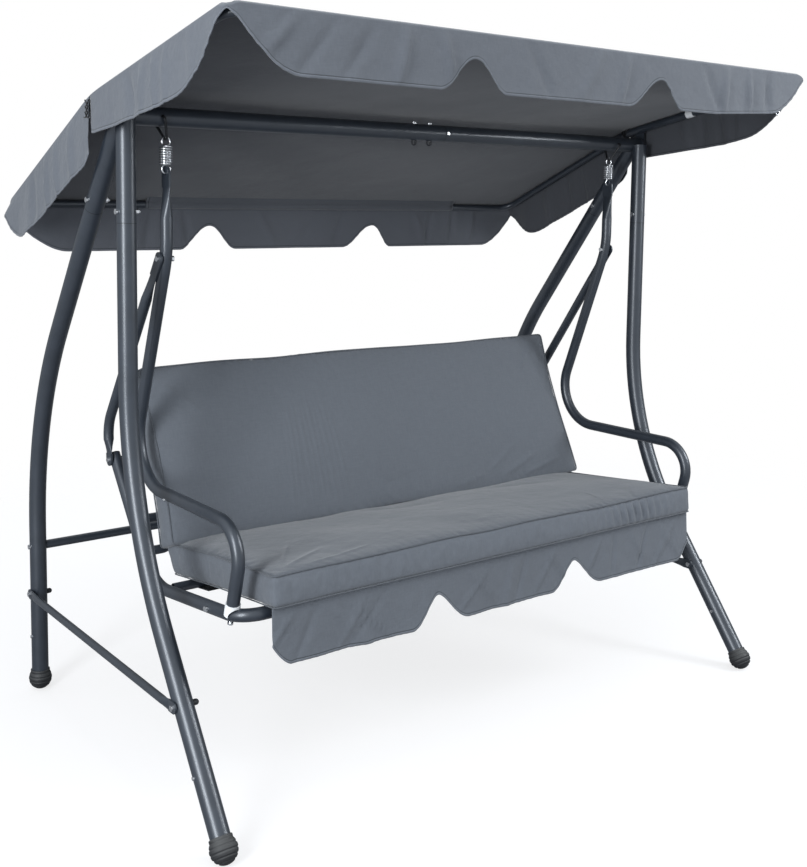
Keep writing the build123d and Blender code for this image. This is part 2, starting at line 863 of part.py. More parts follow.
# The rear rail's top is level with the front rail's, because the sling lies on both
rear_rail_lift = seat_up * (rail_tube - cross_tube) / 2

with BuildPart() as rear_rail:
    ring_tube(on_rail(-rail_inner_x, rear_rail_reach) + rear_rail_lift, across,
              2 * rail_inner_x, cross_tube, arm_wall)
save(rear_rail, "rear_rail")

# The back rail lies on the side rails' axes, where the leaning back frame touches its front
spread = rail_rise.Y / rail_rise.Z - tan(lean)
back_rail_rise = cross_tube / (spread * cos(lean))
back_rail_point = back_foot + rail_rise * (back_rail_rise / rail_rise.Z)

with BuildPart() as back_rail:
    ring_tube(shifted(-rail_inner_x, back_rail_point), across, 2 * rail_inner_x,
              cross_tube, arm_wall)
save(back_rail, "back_rail")

top_run = (top_rail_height - back_foot.Z) / back_up.Z
back_top = back_foot + back_up * top_run
half_back = back_frame_spacing / 2

with BuildPart() as back_frame:
    frame_points = [
        shifted(-rail_inner_x, back_foot),
        shifted(-half_back, back_foot),
        shifted(-half_back, back_top),
        shifted(half_back, back_top),
        shifted(half_back, back_foot),
        shifted(rail_inner_x, back_foot),
    ]
    frame_radii = [back_frame_foot_radius, back_frame_radius, back_frame_radius,
                   back_frame_foot_radius]
    bent_tube(frame_points, frame_radii, cross_tube, arm_wall)
save(back_frame, "back_frame")

# Fasteners of the seat unit
with BuildPart() as seat_bolts:
    for side in SIDES.values():
        inward = across * -side
        outer_x = side * (half_hanger + rail_tube / 2)
        lug_outer_x = side * (lug_x + plate_thickness / 2)
        lug_grip = plate_thickness + rail_tube + nut_height
        headed_bolt(place(lug_outer_x, rear_top_reach, rear_top_height), inward, lug_grip,
                    bolt_diameter, head_diameter, head_height)
        headed_bolt(shifted(lug_outer_x, rail_top), inward, lug_grip,
                    bolt_diameter, head_diameter, head_height)
        headed_bolt(on_rail(outer_x, rail_seam_reach + rail_bolt_rear), inward, rail_tube,
                    bolt_diameter, head_diameter, head_height)
        headed_bolt(shifted(outer_x, back_foot), inward, rail_tube + crossbar_plug,
                    bolt_diameter, head_diameter, head_height)
        under = on_rail(side * half_hanger, arm_foot_reach) + arm_foot_line * arm_head_seat
        headed_bolt(under, arm_foot_line * -1, arm_head_seat + saddle_reach + saddle_height,
                    bolt_diameter, head_diameter, head_height)
save(seat_bolts, "seat_bolts")

with BuildPart() as hanger_nuts:
    for side in SIDES.values():
        for point in (place(0, rear_top_reach, rear_top_height), rail_top):
            nut(shifted(side * rail_inner_x, point), across * -side, nut_diameter,
                bolt_diameter, nut_height)
save(hanger_nuts, "hanger_nuts")

with BuildPart() as arm_screws:
    for side in SIDES.values():
        headed_bolt(arm_screw_seat(side), arm_screw_line(side) * -1, 2 * arm_wall,
                    screw_diameter, screw_head, screw_head_height)
save(arm_screws, "arm_screws")

with BuildPart() as front_rail_outside:
    bent_tube(rail_points, front_rail_radius, rail_tube, 0)

with BuildPart() as arm_saddles:
    for side in SIDES.values():
        foot = on_rail(side * half_hanger, arm_foot_reach)
        rod(foot, arm_foot_line * -1, saddle_reach, saddle_diameter)
        rod(foot - arm_foot_line * saddle_reach, arm_foot_line * -1, saddle_height,
            saddle_spigot)
        rod(foot + seat_forward * -rail_tube, seat_forward, 2 * rail_tube, rail_tube,
            Mode.SUBTRACT)
        rod(foot, arm_foot_line * -1, 2 * saddle_reach, bolt_diameter, Mode.SUBTRACT)
    add(front_rail_outside.part, mode=Mode.SUBTRACT)
save(arm_saddles, "arm_saddles")

# Slings that the cushions lie on
sling_lift = rail_tube / 2 + running_gap
sling_rear = on_rail(0, rear_rail_reach)
sling_front = on_rail(0, front_rail_reach)
sling_length = (sling_front - sling_rear).length + cross_tube / 2
sling_centre = (sling_front + sling_rear) * 0.5 + seat_up * sling_lift
seat_plane = Plane(origin=sling_centre, x_dir=across, z_dir=seat_up)

with BuildPart() as seat_sling:
    with BuildSketch(seat_plane):
        Rectangle(seat_sling_width, sling_length)
    extrude(amount=sling_thickness)
save(seat_sling, "seat_sling")

back_lift = cross_tube / 2 + running_gap
back_plane = Plane(origin=back_foot + back_forward * back_lift, x_dir=across,
                   z_dir=back_forward)
back_sling_low = cross_tube
back_sling_length = top_run - back_sling_low

with BuildPart() as back_sling:
    with BuildSketch(back_plane):
        with Locations((0, back_sling_low + back_sling_length / 2)):
            Rectangle(back_sling_width, back_sling_length)
    extrude(amount=sling_thickness)
save(back_sling, "back_sling")


def cushion(plane, width, low, high, thickness, crown):
    """Add a cushion with a crowned face, bulged ends and drawn-in sides, on a plane."""
    middle = (low + high) / 2
    bulge = crown / 2
    side_plane = Plane(origin=plane.origin, x_dir=plane.y_dir, z_dir=plane.x_dir)
    with BuildSketch(side_plane) as profile:
        with BuildLine():
            Line((low, 0), (high, 0))
            ThreePointArc((high, 0), (high + bulge, thickness / 2), (high, thickness))
            ThreePointArc((high, thickness), (middle, thickness + crown), (low, thickness))
            ThreePointArc((low, thickness), (low - bulge, thickness / 2), (low, 0))
        make_face()
    extrude(profile.sketch, amount=width / 2, both=True)
    side = width / 2
    drawn = side - cushion_side_draw
    with BuildSketch(plane) as outline:
        with BuildLine():
            Line((-side, low - crown), (side, low - crown))
            ThreePointArc((side, low - crown), (drawn, middle), (side, high + crown))
            Line((side, high + crown), (-side, high + crown))
            ThreePointArc((-side, high + crown), (-drawn, middle), (-side, low - crown))
        make_face()
    extrude(outline.sketch, amount=2 * thickness, mode=Mode.INTERSECT)


seat_cushion_plane = Plane(
    origin=on_rail(0, 0) + seat_up * (sling_lift + sling_thickness + running_gap),
    x_dir=across, z_dir=seat_up)
cushion_low = seat_cushion_front_reach / cos(tilt)
cushion_high = seat_cushion_rear_reach / cos(tilt)

with BuildPart() as seat_cushion:
    cushion(seat_cushion_plane, cushion_width, cushion_low, cushion_high, seat_cushion_height,
            seat_crown)
    fillet(seat_cushion.edges(), cushion_edge)
save(seat_cushion, "seat_cushion")

back_cushion_plane = back_plane.offset(sling_thickness + running_gap)

with BuildPart() as back_cushion:
    cushion(back_cushion_plane, back_cushion_width, back_cushion_foot,
            back_cushion_foot + back_cushion_height, back_cushion_thickness, back_crown)
    fillet(back_cushion.edges(), cushion_edge)
save(back_cushion, "back_cushion")


def wave(length, count, amplitude, shift):
    """Add arcs that bulge to one side and the other in turn."""
    pitch = length / count
    for index in range(count):
        start = index * pitch - length / 2
        bulge = amplitude * (-1) ** index
        ThreePointArc((start, shift), (start + pitch / 2, shift + bulge),
                      (start + pitch, shift))


def wavy_strip(plane, length, thickness, count, amplitude):
    """Cross-section of a hanging cloth at one height."""
    half = thickness / 2
    with BuildSketch(plane) as strip:
        with BuildLine():
            wave(length, count, amplitude, half)
            wave(length, count, amplitude, -half)
            Line((-length / 2, -half), (-length / 2, half))
            Line((length / 2, -half), (length / 2, half))
        make_face()
    return strip.sketch


def folded_sheet(top, along, down, length, drop, thickness, amplitude, wave_length):
    """Add a cloth, larger than its outline, whose folds deepen from its top line to its hem."""
    count = 2 * round(length / wave_length) + 1
    wide = length + 2 * cut_overrun
    line_plane = Plane(origin=top, x_dir=along, z_dir=down)
    upper = wavy_strip(line_plane.offset(-cut_overrun), wide, thickness, count,
                       amplitude * top_wave_share)
    lower = wavy_strip(line_plane.offset(drop + cut_overrun), wide, thickness, count,
                       amplitude)
    loft([upper, lower], ruled=True)


def hem_corner(level, high, outward):
    """Add a hem's end: rounded where it is wider than high, and otherwise cut straight."""
    if abs(high.X - level.X) > abs(high.Y - level.Y):
        TangentArc(level, high, tangent=outward)
    else:
        Line(level, high)


def outline_face(plane, top, along, ends, drop, corners, notches, notch_rise, notch_width):
    """Outline of a cloth: upright ends, shaped corners, rounded notches in the hem."""
    run = Vector(along)

    def at(along_by, below):
        return Vector(top) + run * along_by - Vector(0, below)

    (first, last), ((first_rise, first_width), (last_rise, last_width)) = ends, corners
    with BuildSketch(plane) as outline:
        with BuildLine():
            Line(at(first, 0), at(last, 0))
            Line(at(first, 0), at(first, drop - first_rise))
            Line(at(last, 0), at(last, drop - last_rise))
            hem_corner(at(first + first_width, drop), at(first, drop - first_rise), run * -1)
            hem_corner(at(last - last_width, drop), at(last, drop - last_rise), run)
            hem_start = first + first_width
            for notch in notches:
                left = notch - notch_width / 2
                right = notch + notch_width / 2
                apex = at(notch, drop - notch_rise)
                Line(at(hem_start, drop), at(left, drop))
                for foot, inward in ((left, run), (right, run * -1)):
                    middle = at((foot + notch) / 2, drop - notch_rise / 2)
                    TangentArc(at(foot, drop), middle, tangent=inward)
                    TangentArc(apex, middle, tangent=inward * -1)
                hem_start = right
            Line(at(hem_start, drop), at(last - last_width, drop))
        make_face()
    return outline.sketch


def keep_inside(outline, reach):
    """Cut a folded cloth to its outline."""
    extrude(outline, amount=reach, both=True, mode=Mode.INTERSECT)


# Skirt that hangs from the seat cushion's front edge
skirt_lift = sling_lift + sling_thickness
skirt_line = on_rail(0, seat_cushion_front_reach + skirt_setback) + seat_up * skirt_lift
skirt_length = cushion_width - 2 * skirt_inset

with BuildPart() as seat_skirt:
    folded_sheet(skirt_line, across, (0, 0, -1), skirt_length, skirt_drop, skirt_thickness,
                 skirt_wave, skirt_wave_length)
    skirt_corner = (skirt_corner_rise, skirt_corner_width)
    skirt_outline = outline_face(
        Plane.XZ.offset(-skirt_line.Y), (0, skirt_line.Z), (1, 0),
        (-skirt_length / 2, skirt_length / 2), skirt_drop, (skirt_corner, skirt_corner),
        (-skirt_notch_spacing / 2, skirt_notch_spacing / 2), skirt_notch_rise,
        skirt_notch_width)
    keep_inside(skirt_outline, skirt_drop)
save(seat_skirt, "seat_skirt")

# Canopy frame: a bent bracket at each beam end carries straight side tubes and two rails
front_rise = radians(canopy_front_rise)
rear_fall = radians(canopy_rear_fall)
canopy_corner = place(0, canopy_corner_reach, canopy_corner_height)
front_run = Vector(0, -cos(front_rise), sin(front_rise))
rear_run = Vector(0, cos(rear_fall), -sin(rear_fall))
front_up = Vector(0, sin(front_rise), cos(front_rise))
rear_up = Vector(0, sin(rear_fall), cos(rear_fall))
half_arms = arms_spacing / 2
bracket_bore = bracket_tube - 2 * canopy_wall
bend_sag = 1 / cos((rear_fall - front_rise) / 2) - 1
RUNS = {
    "front": (front_run, canopy_front_length, bracket_front_length),
    "rear": (rear_run, canopy_rear_length, bracket_rear_length),
}
front_edge_length = canopy_front_length + front_overhang
rear_edge_length = canopy_rear_length + rear_overhang


def make_canopy_bracket(name, side):
    """Bent tube with a plate below it that turns on the pivot bolt."""
    x = side * half_arms
    plate_x = side * (beam_end + end_plug_rim + running_gap + pivot_plate_thickness / 2)
    plate_top = canopy_corner_height + canopy_corner_reach * tan(front_rise) - bracket_tube / 4
    corner = shifted(x, canopy_corner)
    with BuildPart() as bracket:
        plate_plane = Plane(origin=place(plate_x, 0, beam_height), x_dir=(0, 1, 0),
                            z_dir=(1, 0, 0))
        with BuildSketch(plate_plane.offset(-pivot_plate_thickness / 2)):
            Circle(pivot_plate_width / 2)
            with Locations((0, (plate_top - beam_height) / 2)):
                Rectangle(pivot_plate_width, plate_top - beam_height)
            Circle(pivot_bolt / 2 + bolt_clearance, mode=Mode.SUBTRACT)
        extrude(amount=pivot_plate_thickness)
        rod(corner, front_run, bracket_front_length, bracket_bore, Mode.SUBTRACT)
        ends = [corner + run * length for run, _, length in RUNS.values()]
        bent_tube([ends[0], corner, ends[1]], canopy_bend_radius, bracket_tube, canopy_wall)
    save(bracket, name)


for side_name, side in SIDES.items():
    make_canopy_bracket(f"canopy_bracket_{side_name}", side)

with BuildPart() as canopy_pivot_bolts:
    head_reach = beam_end + end_plug_rim + running_gap + pivot_plate_thickness
    for side in SIDES.values():
        headed_bolt(beam_point(side * (head_reach + running_gap)), across * -side,
                    head_reach + running_gap - beam_end + end_plug_depth, pivot_bolt,
                    head_diameter, pivot_head_height)
save(canopy_pivot_bolts, "canopy_pivot_bolts")

with BuildPart() as canopy_bushes:
    for side in SIDES.values():
        for run, _, bracket_length in RUNS.values():
            mouth = shifted(side * half_arms, canopy_corner) + run * bracket_length
            ring_tube(mouth, run, bush_length, bracket_tube, (bracket_tube - canopy_tube) / 2)
            ring_tube(mouth, run * -1, bush_depth, bracket_bore,
                      (bracket_bore - canopy_tube) / 2)
save(canopy_bushes, "canopy_bushes")

with BuildPart() as canopy_side_tubes:
    for side in SIDES.values():
        for run, run_length, bracket_length in RUNS.values():
            inner = bracket_length - bush_depth
            start = shifted(side * half_arms, canopy_corner) + run * inner
            ring_tube(start, run, run_length - canopy_rail_return - inner, canopy_tube,
                      canopy_wall)
save(canopy_side_tubes, "canopy_side_tubes")


def make_canopy_rail(name, run, run_length):
    """Wide shallow U whose swaged ends fit into the side tubes."""
    with BuildPart() as rail:
        corner = canopy_corner + run * run_length
        seam = corner - run * canopy_rail_return
        points = [shifted(-half_arms, seam), shifted(-half_arms, corner),
                  shifted(half_arms, corner), shifted(half_arms, seam)]
        bent_tube(points, canopy_rail_radius, canopy_tube, canopy_wall)
        for side in SIDES.values():
            joint = shifted(side * half_arms, seam)
            ring_tube(joint, run, shoulder_length, canopy_tube, 2 * canopy_wall + neck_gap)
            ring_tube(joint, run * -1, canopy_neck,
                      canopy_tube - 2 * canopy_wall - 2 * neck_gap, canopy_wall)
    save(rail, name)


for end, (run, run_length, _) in RUNS.items():
    make_canopy_rail(f"canopy_{end}_rail", run, run_length)

# Canopy fabric
cover_lift = bracket_tube / 2 + running_gap


def cover_line(lift):
    """Add the cover's side line at a height above the tubes, and return its ends."""
    front = canopy_corner + front_run * front_edge_length + front_up * lift
    rear = canopy_corner + rear_run * rear_edge_length + rear_up * lift
    both = front_up + rear_up
    corner = canopy_corner + both * (lift / (1 + front_up.dot(rear_up)))
    points = [(point.Y, point.Z) for point in (front, corner, rear)]
    FilletPolyline(*points, radius=canopy_bend_radius + lift)
    return points[0], points[2]


with BuildPart() as canopy_cover:
    with BuildSketch(Plane.YZ):
        with BuildLine():
            low_ends = cover_line(cover_lift)
            high_ends = cover_line(cover_lift + cover_thickness)
            for low, high in zip(low_ends, high_ends):
                Line(low, high)
        make_face()
    extrude(amount=cover_width / 2, both=True)
save(canopy_cover, "canopy_cover")


def make_end_valance(name, run, edge_length, up, drop):
    """Scalloped cloth that hangs from the cover's front or rear edge."""
    edge = canopy_corner + run * (edge_length - valance_setback)
    line = edge + up * cover_lift - Vector(0, 0, valance_thickness / 2)
    half = cover_width / 2
    corner = (valance_corner_rise, valance_corner_width)
    with BuildPart() as valance:
        outline = outline_face(
            Plane.XZ.offset(-line.Y), (0, line.Z), (1, 0), (-half, half), drop,
            (corner, corner), (-valance_notch_spacing / 2, valance_notch_spacing / 2),
            valance_notch_rise, valance_notch_width)
        extrude(outline, amount=valance_thickness / 2, both=True)
    save(valance, name)


make_end_valance("front_valance", front_run, front_edge_length, front_up, front_drop)
make_end_valance("rear_valance", rear_run, rear_edge_length, rear_up, rear_drop)


def side_panel(x, run, edge_length, up):
    """Cloth under one half of the cover's side edge, from the slit to the corner."""
    sag = (canopy_bend_radius + cover_lift) * bend_sag + running_gap
    corner = canopy_corner + (front_up + rear_up) * (cover_lift / (1 + front_up.dot(rear_up)))
    line = shifted(x, corner) - Vector(0, 0, sag)
    reach = edge_length - valance_setback - valance_thickness
    with BuildPart() as panel:
        folded_sheet(line + run * (reach / 2), run, up * -1, reach + 2 * side_drop, side_drop,
                     valance_thickness, valance_wave, valance_wave_length)
        outline = outline_face(
            Plane.YZ.offset(x), (line.Y, line.Z), (run.Y, run.Z),
            (valance_slit / 2, reach), side_drop,
            ((slit_corner, slit_corner + valance_thickness),
             (valance_corner_rise, valance_corner_width)),
            (), valance_notch_rise, valance_notch_width)
        keep_inside(outline, side_drop)
    return panel.part


for side_name, side in SIDES.items():
    with BuildPart() as side_valance:
        x = side * (cover_width / 2 - valance_setback)
        add(side_panel(x, front_run, front_edge_length, front_up))
        add(side_panel(x, rear_run, rear_edge_length, rear_up))
    save(side_valance, f"{side_name}_valance")

# Laces below the brackets at the slits, and the hook below the front rail
knot_drop = canopy_bend_radius * bend_sag + bracket_tube / 2 + running_gap + tie_knot / 2
knot_place = canopy_corner - (front_up + rear_up).normalized() * knot_drop

with BuildPart() as canopy_ties:
    for side in SIDES.values():
        knot = shifted(side * half_arms, knot_place)
        with Locations(knot):
            Sphere(tie_knot / 2)
        for spread in (-tie_spread, tie_spread):
            rod(knot, Vector(0, spread, -tie_length).normalized(), tie_length, tie_rod)
save(canopy_ties, "canopy_ties")

with BuildPart() as corner_hook:
    rail_point = shifted(half_arms - hook_inset, canopy_corner) + front_run * canopy_front_length
    wire_top = rail_point - Vector(0, 0, canopy_tube / 2 + running_gap)
    ring_centre = rail_point - Vector(0, 0, hook_drop)
    wire_length = wire_top.Z - ring_centre.Z - hook_ring / 2
    rod(wire_top, (0, 0, -1), wire_length, hook_wire)
    with Locations(Plane(origin=ring_centre, x_dir=across, z_dir=(0, 1, 0))):
        Torus(hook_ring / 2, hook_wire / 2)
save(corner_hook, "corner_hook")
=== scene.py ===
# %% [markdown]
# A garden swing: a dark steel frame, a cushioned bench that hangs on two springs, and a cloth roof.
# The tubes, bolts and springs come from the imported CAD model, so they only need a finish here.
# The soft pieces and the rubber feet are made new, in metres, in the frame's own coordinates.

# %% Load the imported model
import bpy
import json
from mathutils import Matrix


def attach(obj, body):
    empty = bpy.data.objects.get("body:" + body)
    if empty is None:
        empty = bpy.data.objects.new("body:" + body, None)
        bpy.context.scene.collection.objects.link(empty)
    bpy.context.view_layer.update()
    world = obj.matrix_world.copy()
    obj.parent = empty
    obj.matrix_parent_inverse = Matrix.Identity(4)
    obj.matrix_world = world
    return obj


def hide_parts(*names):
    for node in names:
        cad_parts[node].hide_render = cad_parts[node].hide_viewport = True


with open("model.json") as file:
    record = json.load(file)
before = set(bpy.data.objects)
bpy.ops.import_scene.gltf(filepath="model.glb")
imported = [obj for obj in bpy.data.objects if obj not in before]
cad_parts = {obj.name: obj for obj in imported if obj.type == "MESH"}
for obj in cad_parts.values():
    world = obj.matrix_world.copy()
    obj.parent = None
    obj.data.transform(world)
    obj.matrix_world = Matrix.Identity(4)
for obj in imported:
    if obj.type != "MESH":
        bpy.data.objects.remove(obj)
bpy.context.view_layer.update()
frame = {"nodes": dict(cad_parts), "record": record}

# %% Tools
import json
import math

import bmesh
import bpy
import numpy as np
from mathutils import Matrix, Vector, noise

scene = bpy.context.scene


def put(name, data):
    """New object in the scene."""
    made = bpy.data.objects.new(name, data)
    scene.collection.objects.link(made)
    return made


# %% [markdown]
# The camera stands at chest height in front of the left side frame and looks down a little.
# Its lens and its shift reproduce the photograph's perspective, so renders can be laid beside it.

# %% Camera
film_size = 36
image_height = 867
focal_pixels = 1144.3
principal_left = 8.0
principal_above = 118.7
camera_place = Vector((-2.081, -2.6721, 1.4574))
camera_yaw = math.radians(37.118)
camera_pitch = math.radians(-5.555)
camera_roll = math.radians(0.687)

forward = Vector((math.sin(camera_yaw) * math.cos(camera_pitch),
                  math.cos(camera_yaw) * math.cos(camera_pitch),
                  math.sin(camera_pitch)))
level = Vector((math.cos(camera_yaw), -math.sin(camera_yaw), 0))
raised = level.cross(forward)
camera_right = level * math.cos(camera_roll) + raised * math.sin(camera_roll)
camera_up = raised * math.cos(camera_roll) - level * math.sin(camera_roll)

camera = put("camera", bpy.data.cameras.new("camera"))
camera.data.sensor_width = film_size
camera.data.lens = film_size * focal_pixels / image_height
camera.data.shift_x = principal_left / image_height
camera.data.shift_y = -principal_above / image_height
turned = Matrix((camera_right, camera_up, -forward)).transposed().to_4x4()
camera.matrix_world = Matrix.Translation(camera_place) @ turned
scene.camera = camera
print("lens", round(camera.data.lens, 2))

# %% [markdown]
# Sky, floor and finishes are all built from shader nodes. A few small functions make, join and
# set the nodes, so that each recipe below reads as a list of steps.

# %% Node tools


def add_node(tree, kind, **settings):
    """New node with its settings."""
    made = tree.nodes.new(kind)
    for key, value in settings.items():
        setattr(made, key, value)
    return made


def math_node(tree, operation, first, second):
    """Math node of two values, each a socket or a number."""
    made = add_node(tree, "ShaderNodeMath", operation=operation)
    for socket, value in zip(made.inputs, (first, second)):
        if isinstance(value, (int, float)):
            socket.default_value = value
        else:
            tree.links.new(value, socket)
    return made.outputs[0]


def ranged(tree, value, source, target, interpolation="LINEAR"):
    """Value carried from the source range to the target range."""
    made = add_node(tree, "ShaderNodeMapRange", interpolation_type=interpolation)
    for label, bound in zip(("From Min", "From Max", "To Min", "To Max"), (*source, *target)):
        made.inputs[label].default_value = bound
    tree.links.new(value, made.inputs["Value"])
    return made.outputs["Result"]


def close_to(tree, value, centre, half):
    """1 where a value lies within half a width of a centre, else 0."""
    near = math_node(tree, "COMPARE", value, centre)
    near.node.inputs[2].default_value = half
    return near


def output_mix(tree, share, first, second, output):
    """Blend two shaders and send them to the output."""
    made = add_node(tree, "ShaderNodeMixShader")
    for socket, source in zip(made.inputs, (share, first.outputs[0], second.outputs[0])):
        tree.links.new(source, socket)
    tree.links.new(made.outputs[0], tree.nodes[output].inputs["Surface"])


# %% [markdown]
# The studio is a pale floor under an even pale sky. A large soft panel on the left front draws the
# long highlights on the tubes, a weaker one on the right fills the shade, and one above lights
# the cushions through the open sides.

# %% Floor, sky and lights
floor_mesh = bpy.data.meshes.new("floor")
shape = bmesh.new()
bmesh.ops.create_grid(shape, x_segments=1, y_segments=1, size=30)
shape.to_mesh(floor_mesh)
shape.free()
floor = put("floor", floor_mesh)

scene.view_settings.view_transform = "Standard"
sky = bpy.data.worlds.new("sky")
scene.world = sky
sky.use_nodes = True
sky_tree = sky.node_tree
brightest_way = (-0.55, -0.58, 0.60)
sky_strength = (0.16, 0.95)
sky_light = sky_tree.nodes["Background"]
sky_light.inputs["Color"].default_value = (0.90, 0.95, 1.0, 1)
white_page = add_node(sky_tree, "ShaderNodeBackground")
white_page.inputs["Color"].default_value = (1, 1, 1, 1)
toward = add_node(sky_tree, "ShaderNodeVectorMath", operation="DOT_PRODUCT")
toward.inputs[1].default_value = brightest_way
sky_tree.links.new(add_node(sky_tree, "ShaderNodeTexCoord").outputs["Generated"],
                   toward.inputs[0])
glow = ranged(sky_tree, toward.outputs["Value"], (-1, 1), sky_strength, "SMOOTHSTEP")
sky_tree.links.new(glow, sky_light.inputs["Strength"])
output_mix(sky_tree, add_node(sky_tree, "ShaderNodeLightPath").outputs["Is Camera Ray"],
           sky_light, white_page, "World Output")


def soft_light(name, place, aim, width, height, power):
    """Rectangular soft panel that faces a point."""
    lamp = bpy.data.lights.new(name, "AREA")
    lamp.shape = "RECTANGLE"
    lamp.size = width
    lamp.size_y = height
    lamp.energy = power
    lamp.color = (0.93, 0.97, 1.0)
    panel = put(name, lamp)
    panel.location = place
    panel.rotation_euler = (Vector(aim) - Vector(place)).to_track_quat("-Z", "Y").to_euler()


soft_light("key", (-4.0, -1.8, 1.9), (0, -0.3, 1.1), 1.0, 2.8, 152)
soft_light("fill", (2.5, -2.4, 2.5), (0.7, -0.6, 1.5), 0.8, 1.8, 76)
soft_light("top", (0, -0.3, 4.2), (0, 0, 1.2), 3.0, 2.0, 34)
print("lights", 3)

# %% [markdown]
# Three effects serve several finishes: a fine grain for paint, rubber and plastic, a plain weave
# for cloth, and the dust that settles on faces that look up. Each is a node group, built once.

# %% Group tools


def new_group(name, inputs, outputs):
    """Empty node group with named sockets."""
    tree = bpy.data.node_groups.new(name, "ShaderNodeTree")
    for label, kind, value in inputs:
        socket = tree.interface.new_socket(label, in_out="INPUT", socket_type=kind)
        if value is not None:
            socket.default_value = value
    for label, kind in outputs:
        tree.interface.new_socket(label, in_out="OUTPUT", socket_type=kind)
    return tree, add_node(tree, "NodeGroupInput"), add_node(tree, "NodeGroupOutput")


def stretched_noise(tree, vector, stretch, detail):
    """Noise whose grain is stretched along an axis."""
    scaled = add_node(tree, "ShaderNodeVectorMath", operation="MULTIPLY")
    scaled.inputs[1].default_value = stretch
    tree.links.new(vector, scaled.inputs[0])
    cloud = add_node(tree, "ShaderNodeTexNoise")
    cloud.inputs["Scale"].default_value = 1
    cloud.inputs["Detail"].default_value = detail
    tree.links.new(scaled.outputs[0], cloud.inputs["Vector"])
    return cloud.outputs["Fac"]


# %% Fine grain
grain_tree, grain_in, grain_out = new_group(
    "fine grain", [("Place", "NodeSocketVector", None), ("Size", "NodeSocketFloat", 900)],
    [("Mask", "NodeSocketFloat"), ("Height", "NodeSocketFloat")])
blotch = stretched_noise(grain_tree, grain_in.outputs["Place"], (22, 22, 22), 4)
pebble = add_node(grain_tree, "ShaderNodeTexNoise")
pebble.inputs["Detail"].default_value = 2
grain_tree.links.new(grain_in.outputs["Place"], pebble.inputs["Vector"])
grain_tree.links.new(grain_in.outputs["Size"], pebble.inputs["Scale"])
grain_tree.links.new(blotch, grain_out.inputs["Mask"])
grain_tree.links.new(pebble.outputs["Fac"], grain_out.inputs["Height"])

# %% Plain weave
weave_tree, weave_in, weave_out = new_group(
    "plain weave", [("Place", "NodeSocketVector", None), ("Threads", "NodeSocketFloat", 900)],
    [("Tone", "NodeSocketFloat"), ("Height", "NodeSocketFloat")])
thread_axes = add_node(weave_tree, "ShaderNodeSeparateXYZ")
weave_tree.links.new(weave_in.outputs["Place"], thread_axes.inputs[0])
turns = math_node(weave_tree, "MULTIPLY", weave_in.outputs["Threads"], math.pi)
crossings = []
for axis in ("X", "Y"):
    angle = math_node(weave_tree, "MULTIPLY", thread_axes.outputs[axis], turns)
    crossings.append(math_node(weave_tree, "SINE", angle, 0))
woven = math_node(weave_tree, "MULTIPLY", crossings[0], crossings[1])
weave_tree.links.new(woven, weave_out.inputs["Height"])
warp_tone = stretched_noise(weave_tree, weave_in.outputs["Place"], (460, 45, 45), 3)
weft_tone = stretched_noise(weave_tree, weave_in.outputs["Place"], (45, 460, 45), 3)
tone = math_node(weave_tree, "ADD", warp_tone, weft_tone)
tone = math_node(weave_tree, "MULTIPLY", tone, 0.5)
weave_tree.links.new(tone, weave_out.inputs["Tone"])

# %% Settled dust
dust_tree, dust_in, dust_out = new_group(
    "settled dust", [("Place", "NodeSocketVector", None)], [("Mask", "NodeSocketFloat")])
facing = add_node(dust_tree, "ShaderNodeNewGeometry")
upright = add_node(dust_tree, "ShaderNodeSeparateXYZ")
dust_tree.links.new(facing.outputs["Normal"], upright.inputs[0])
looks_up = math_node(dust_tree, "MAXIMUM", upright.outputs["Z"], 0)
patches = stretched_noise(dust_tree, dust_in.outputs["Place"], (14, 14, 14), 5)
settled = math_node(dust_tree, "MULTIPLY", looks_up, patches)
dust_tree.links.new(settled, dust_out.inputs["Mask"])
print("groups", [g.name for g in bpy.data.node_groups])

# %% [markdown]
# The frame is powder coated in a dark blue grey. The coat is smooth but not flat: it has a fine
# orange peel, which breaks the edge of each highlight, and it looks paler where dust lies on it.
# A coat layer over a slightly metallic base gives the long bluish highlights of the real tubes.

# %% Node use


def use_group(tree, group, vector):
    """Node group placed in a material and fed with coordinates."""
    made = add_node(tree, "ShaderNodeGroup", node_tree=group)
    tree.links.new(vector, made.inputs["Place"])
    return made


def color_mix(tree, share, dark, light):
    """Blend of two colours by a share; each colour is a socket or a tuple."""
    made = add_node(tree, "ShaderNodeMix", data_type="RGBA")
    tree.links.new(share, made.inputs[0])
    for socket, value in ((made.inputs[6], dark), (made.inputs[7], light)):
        if isinstance(value, tuple):
            socket.default_value = (*value, 1)
        else:
            tree.links.new(value, socket)
    return made.outputs[2]


def bumped(tree, height, strength, distance, under=None):
    """Normal from a height."""
    made = add_node(tree, "ShaderNodeBump")
    made.inputs["Strength"].default_value = strength
    made.inputs["Distance"].default_value = distance
    tree.links.new(height, made.inputs["Height"])
    if under is not None:
        tree.links.new(under, made.inputs["Normal"])
    return made.outputs["Normal"]


def spread_value(tree, mask, low, high):
    """Value that runs from low to high over the middle of a mask."""
    return ranged(tree, mask, (0.3, 0.7), (low, high))


def new_material(name):
    """Material with its node tree and its surface."""
    material = bpy.data.materials.new(name)
    material.use_nodes = True
    return material, material.node_tree, material.node_tree.nodes["Principled BSDF"]


# %% Hard finishes
dust_color = (0.42, 0.42, 0.41)
grain_height = 0.0004
coat_roughness = 0.34


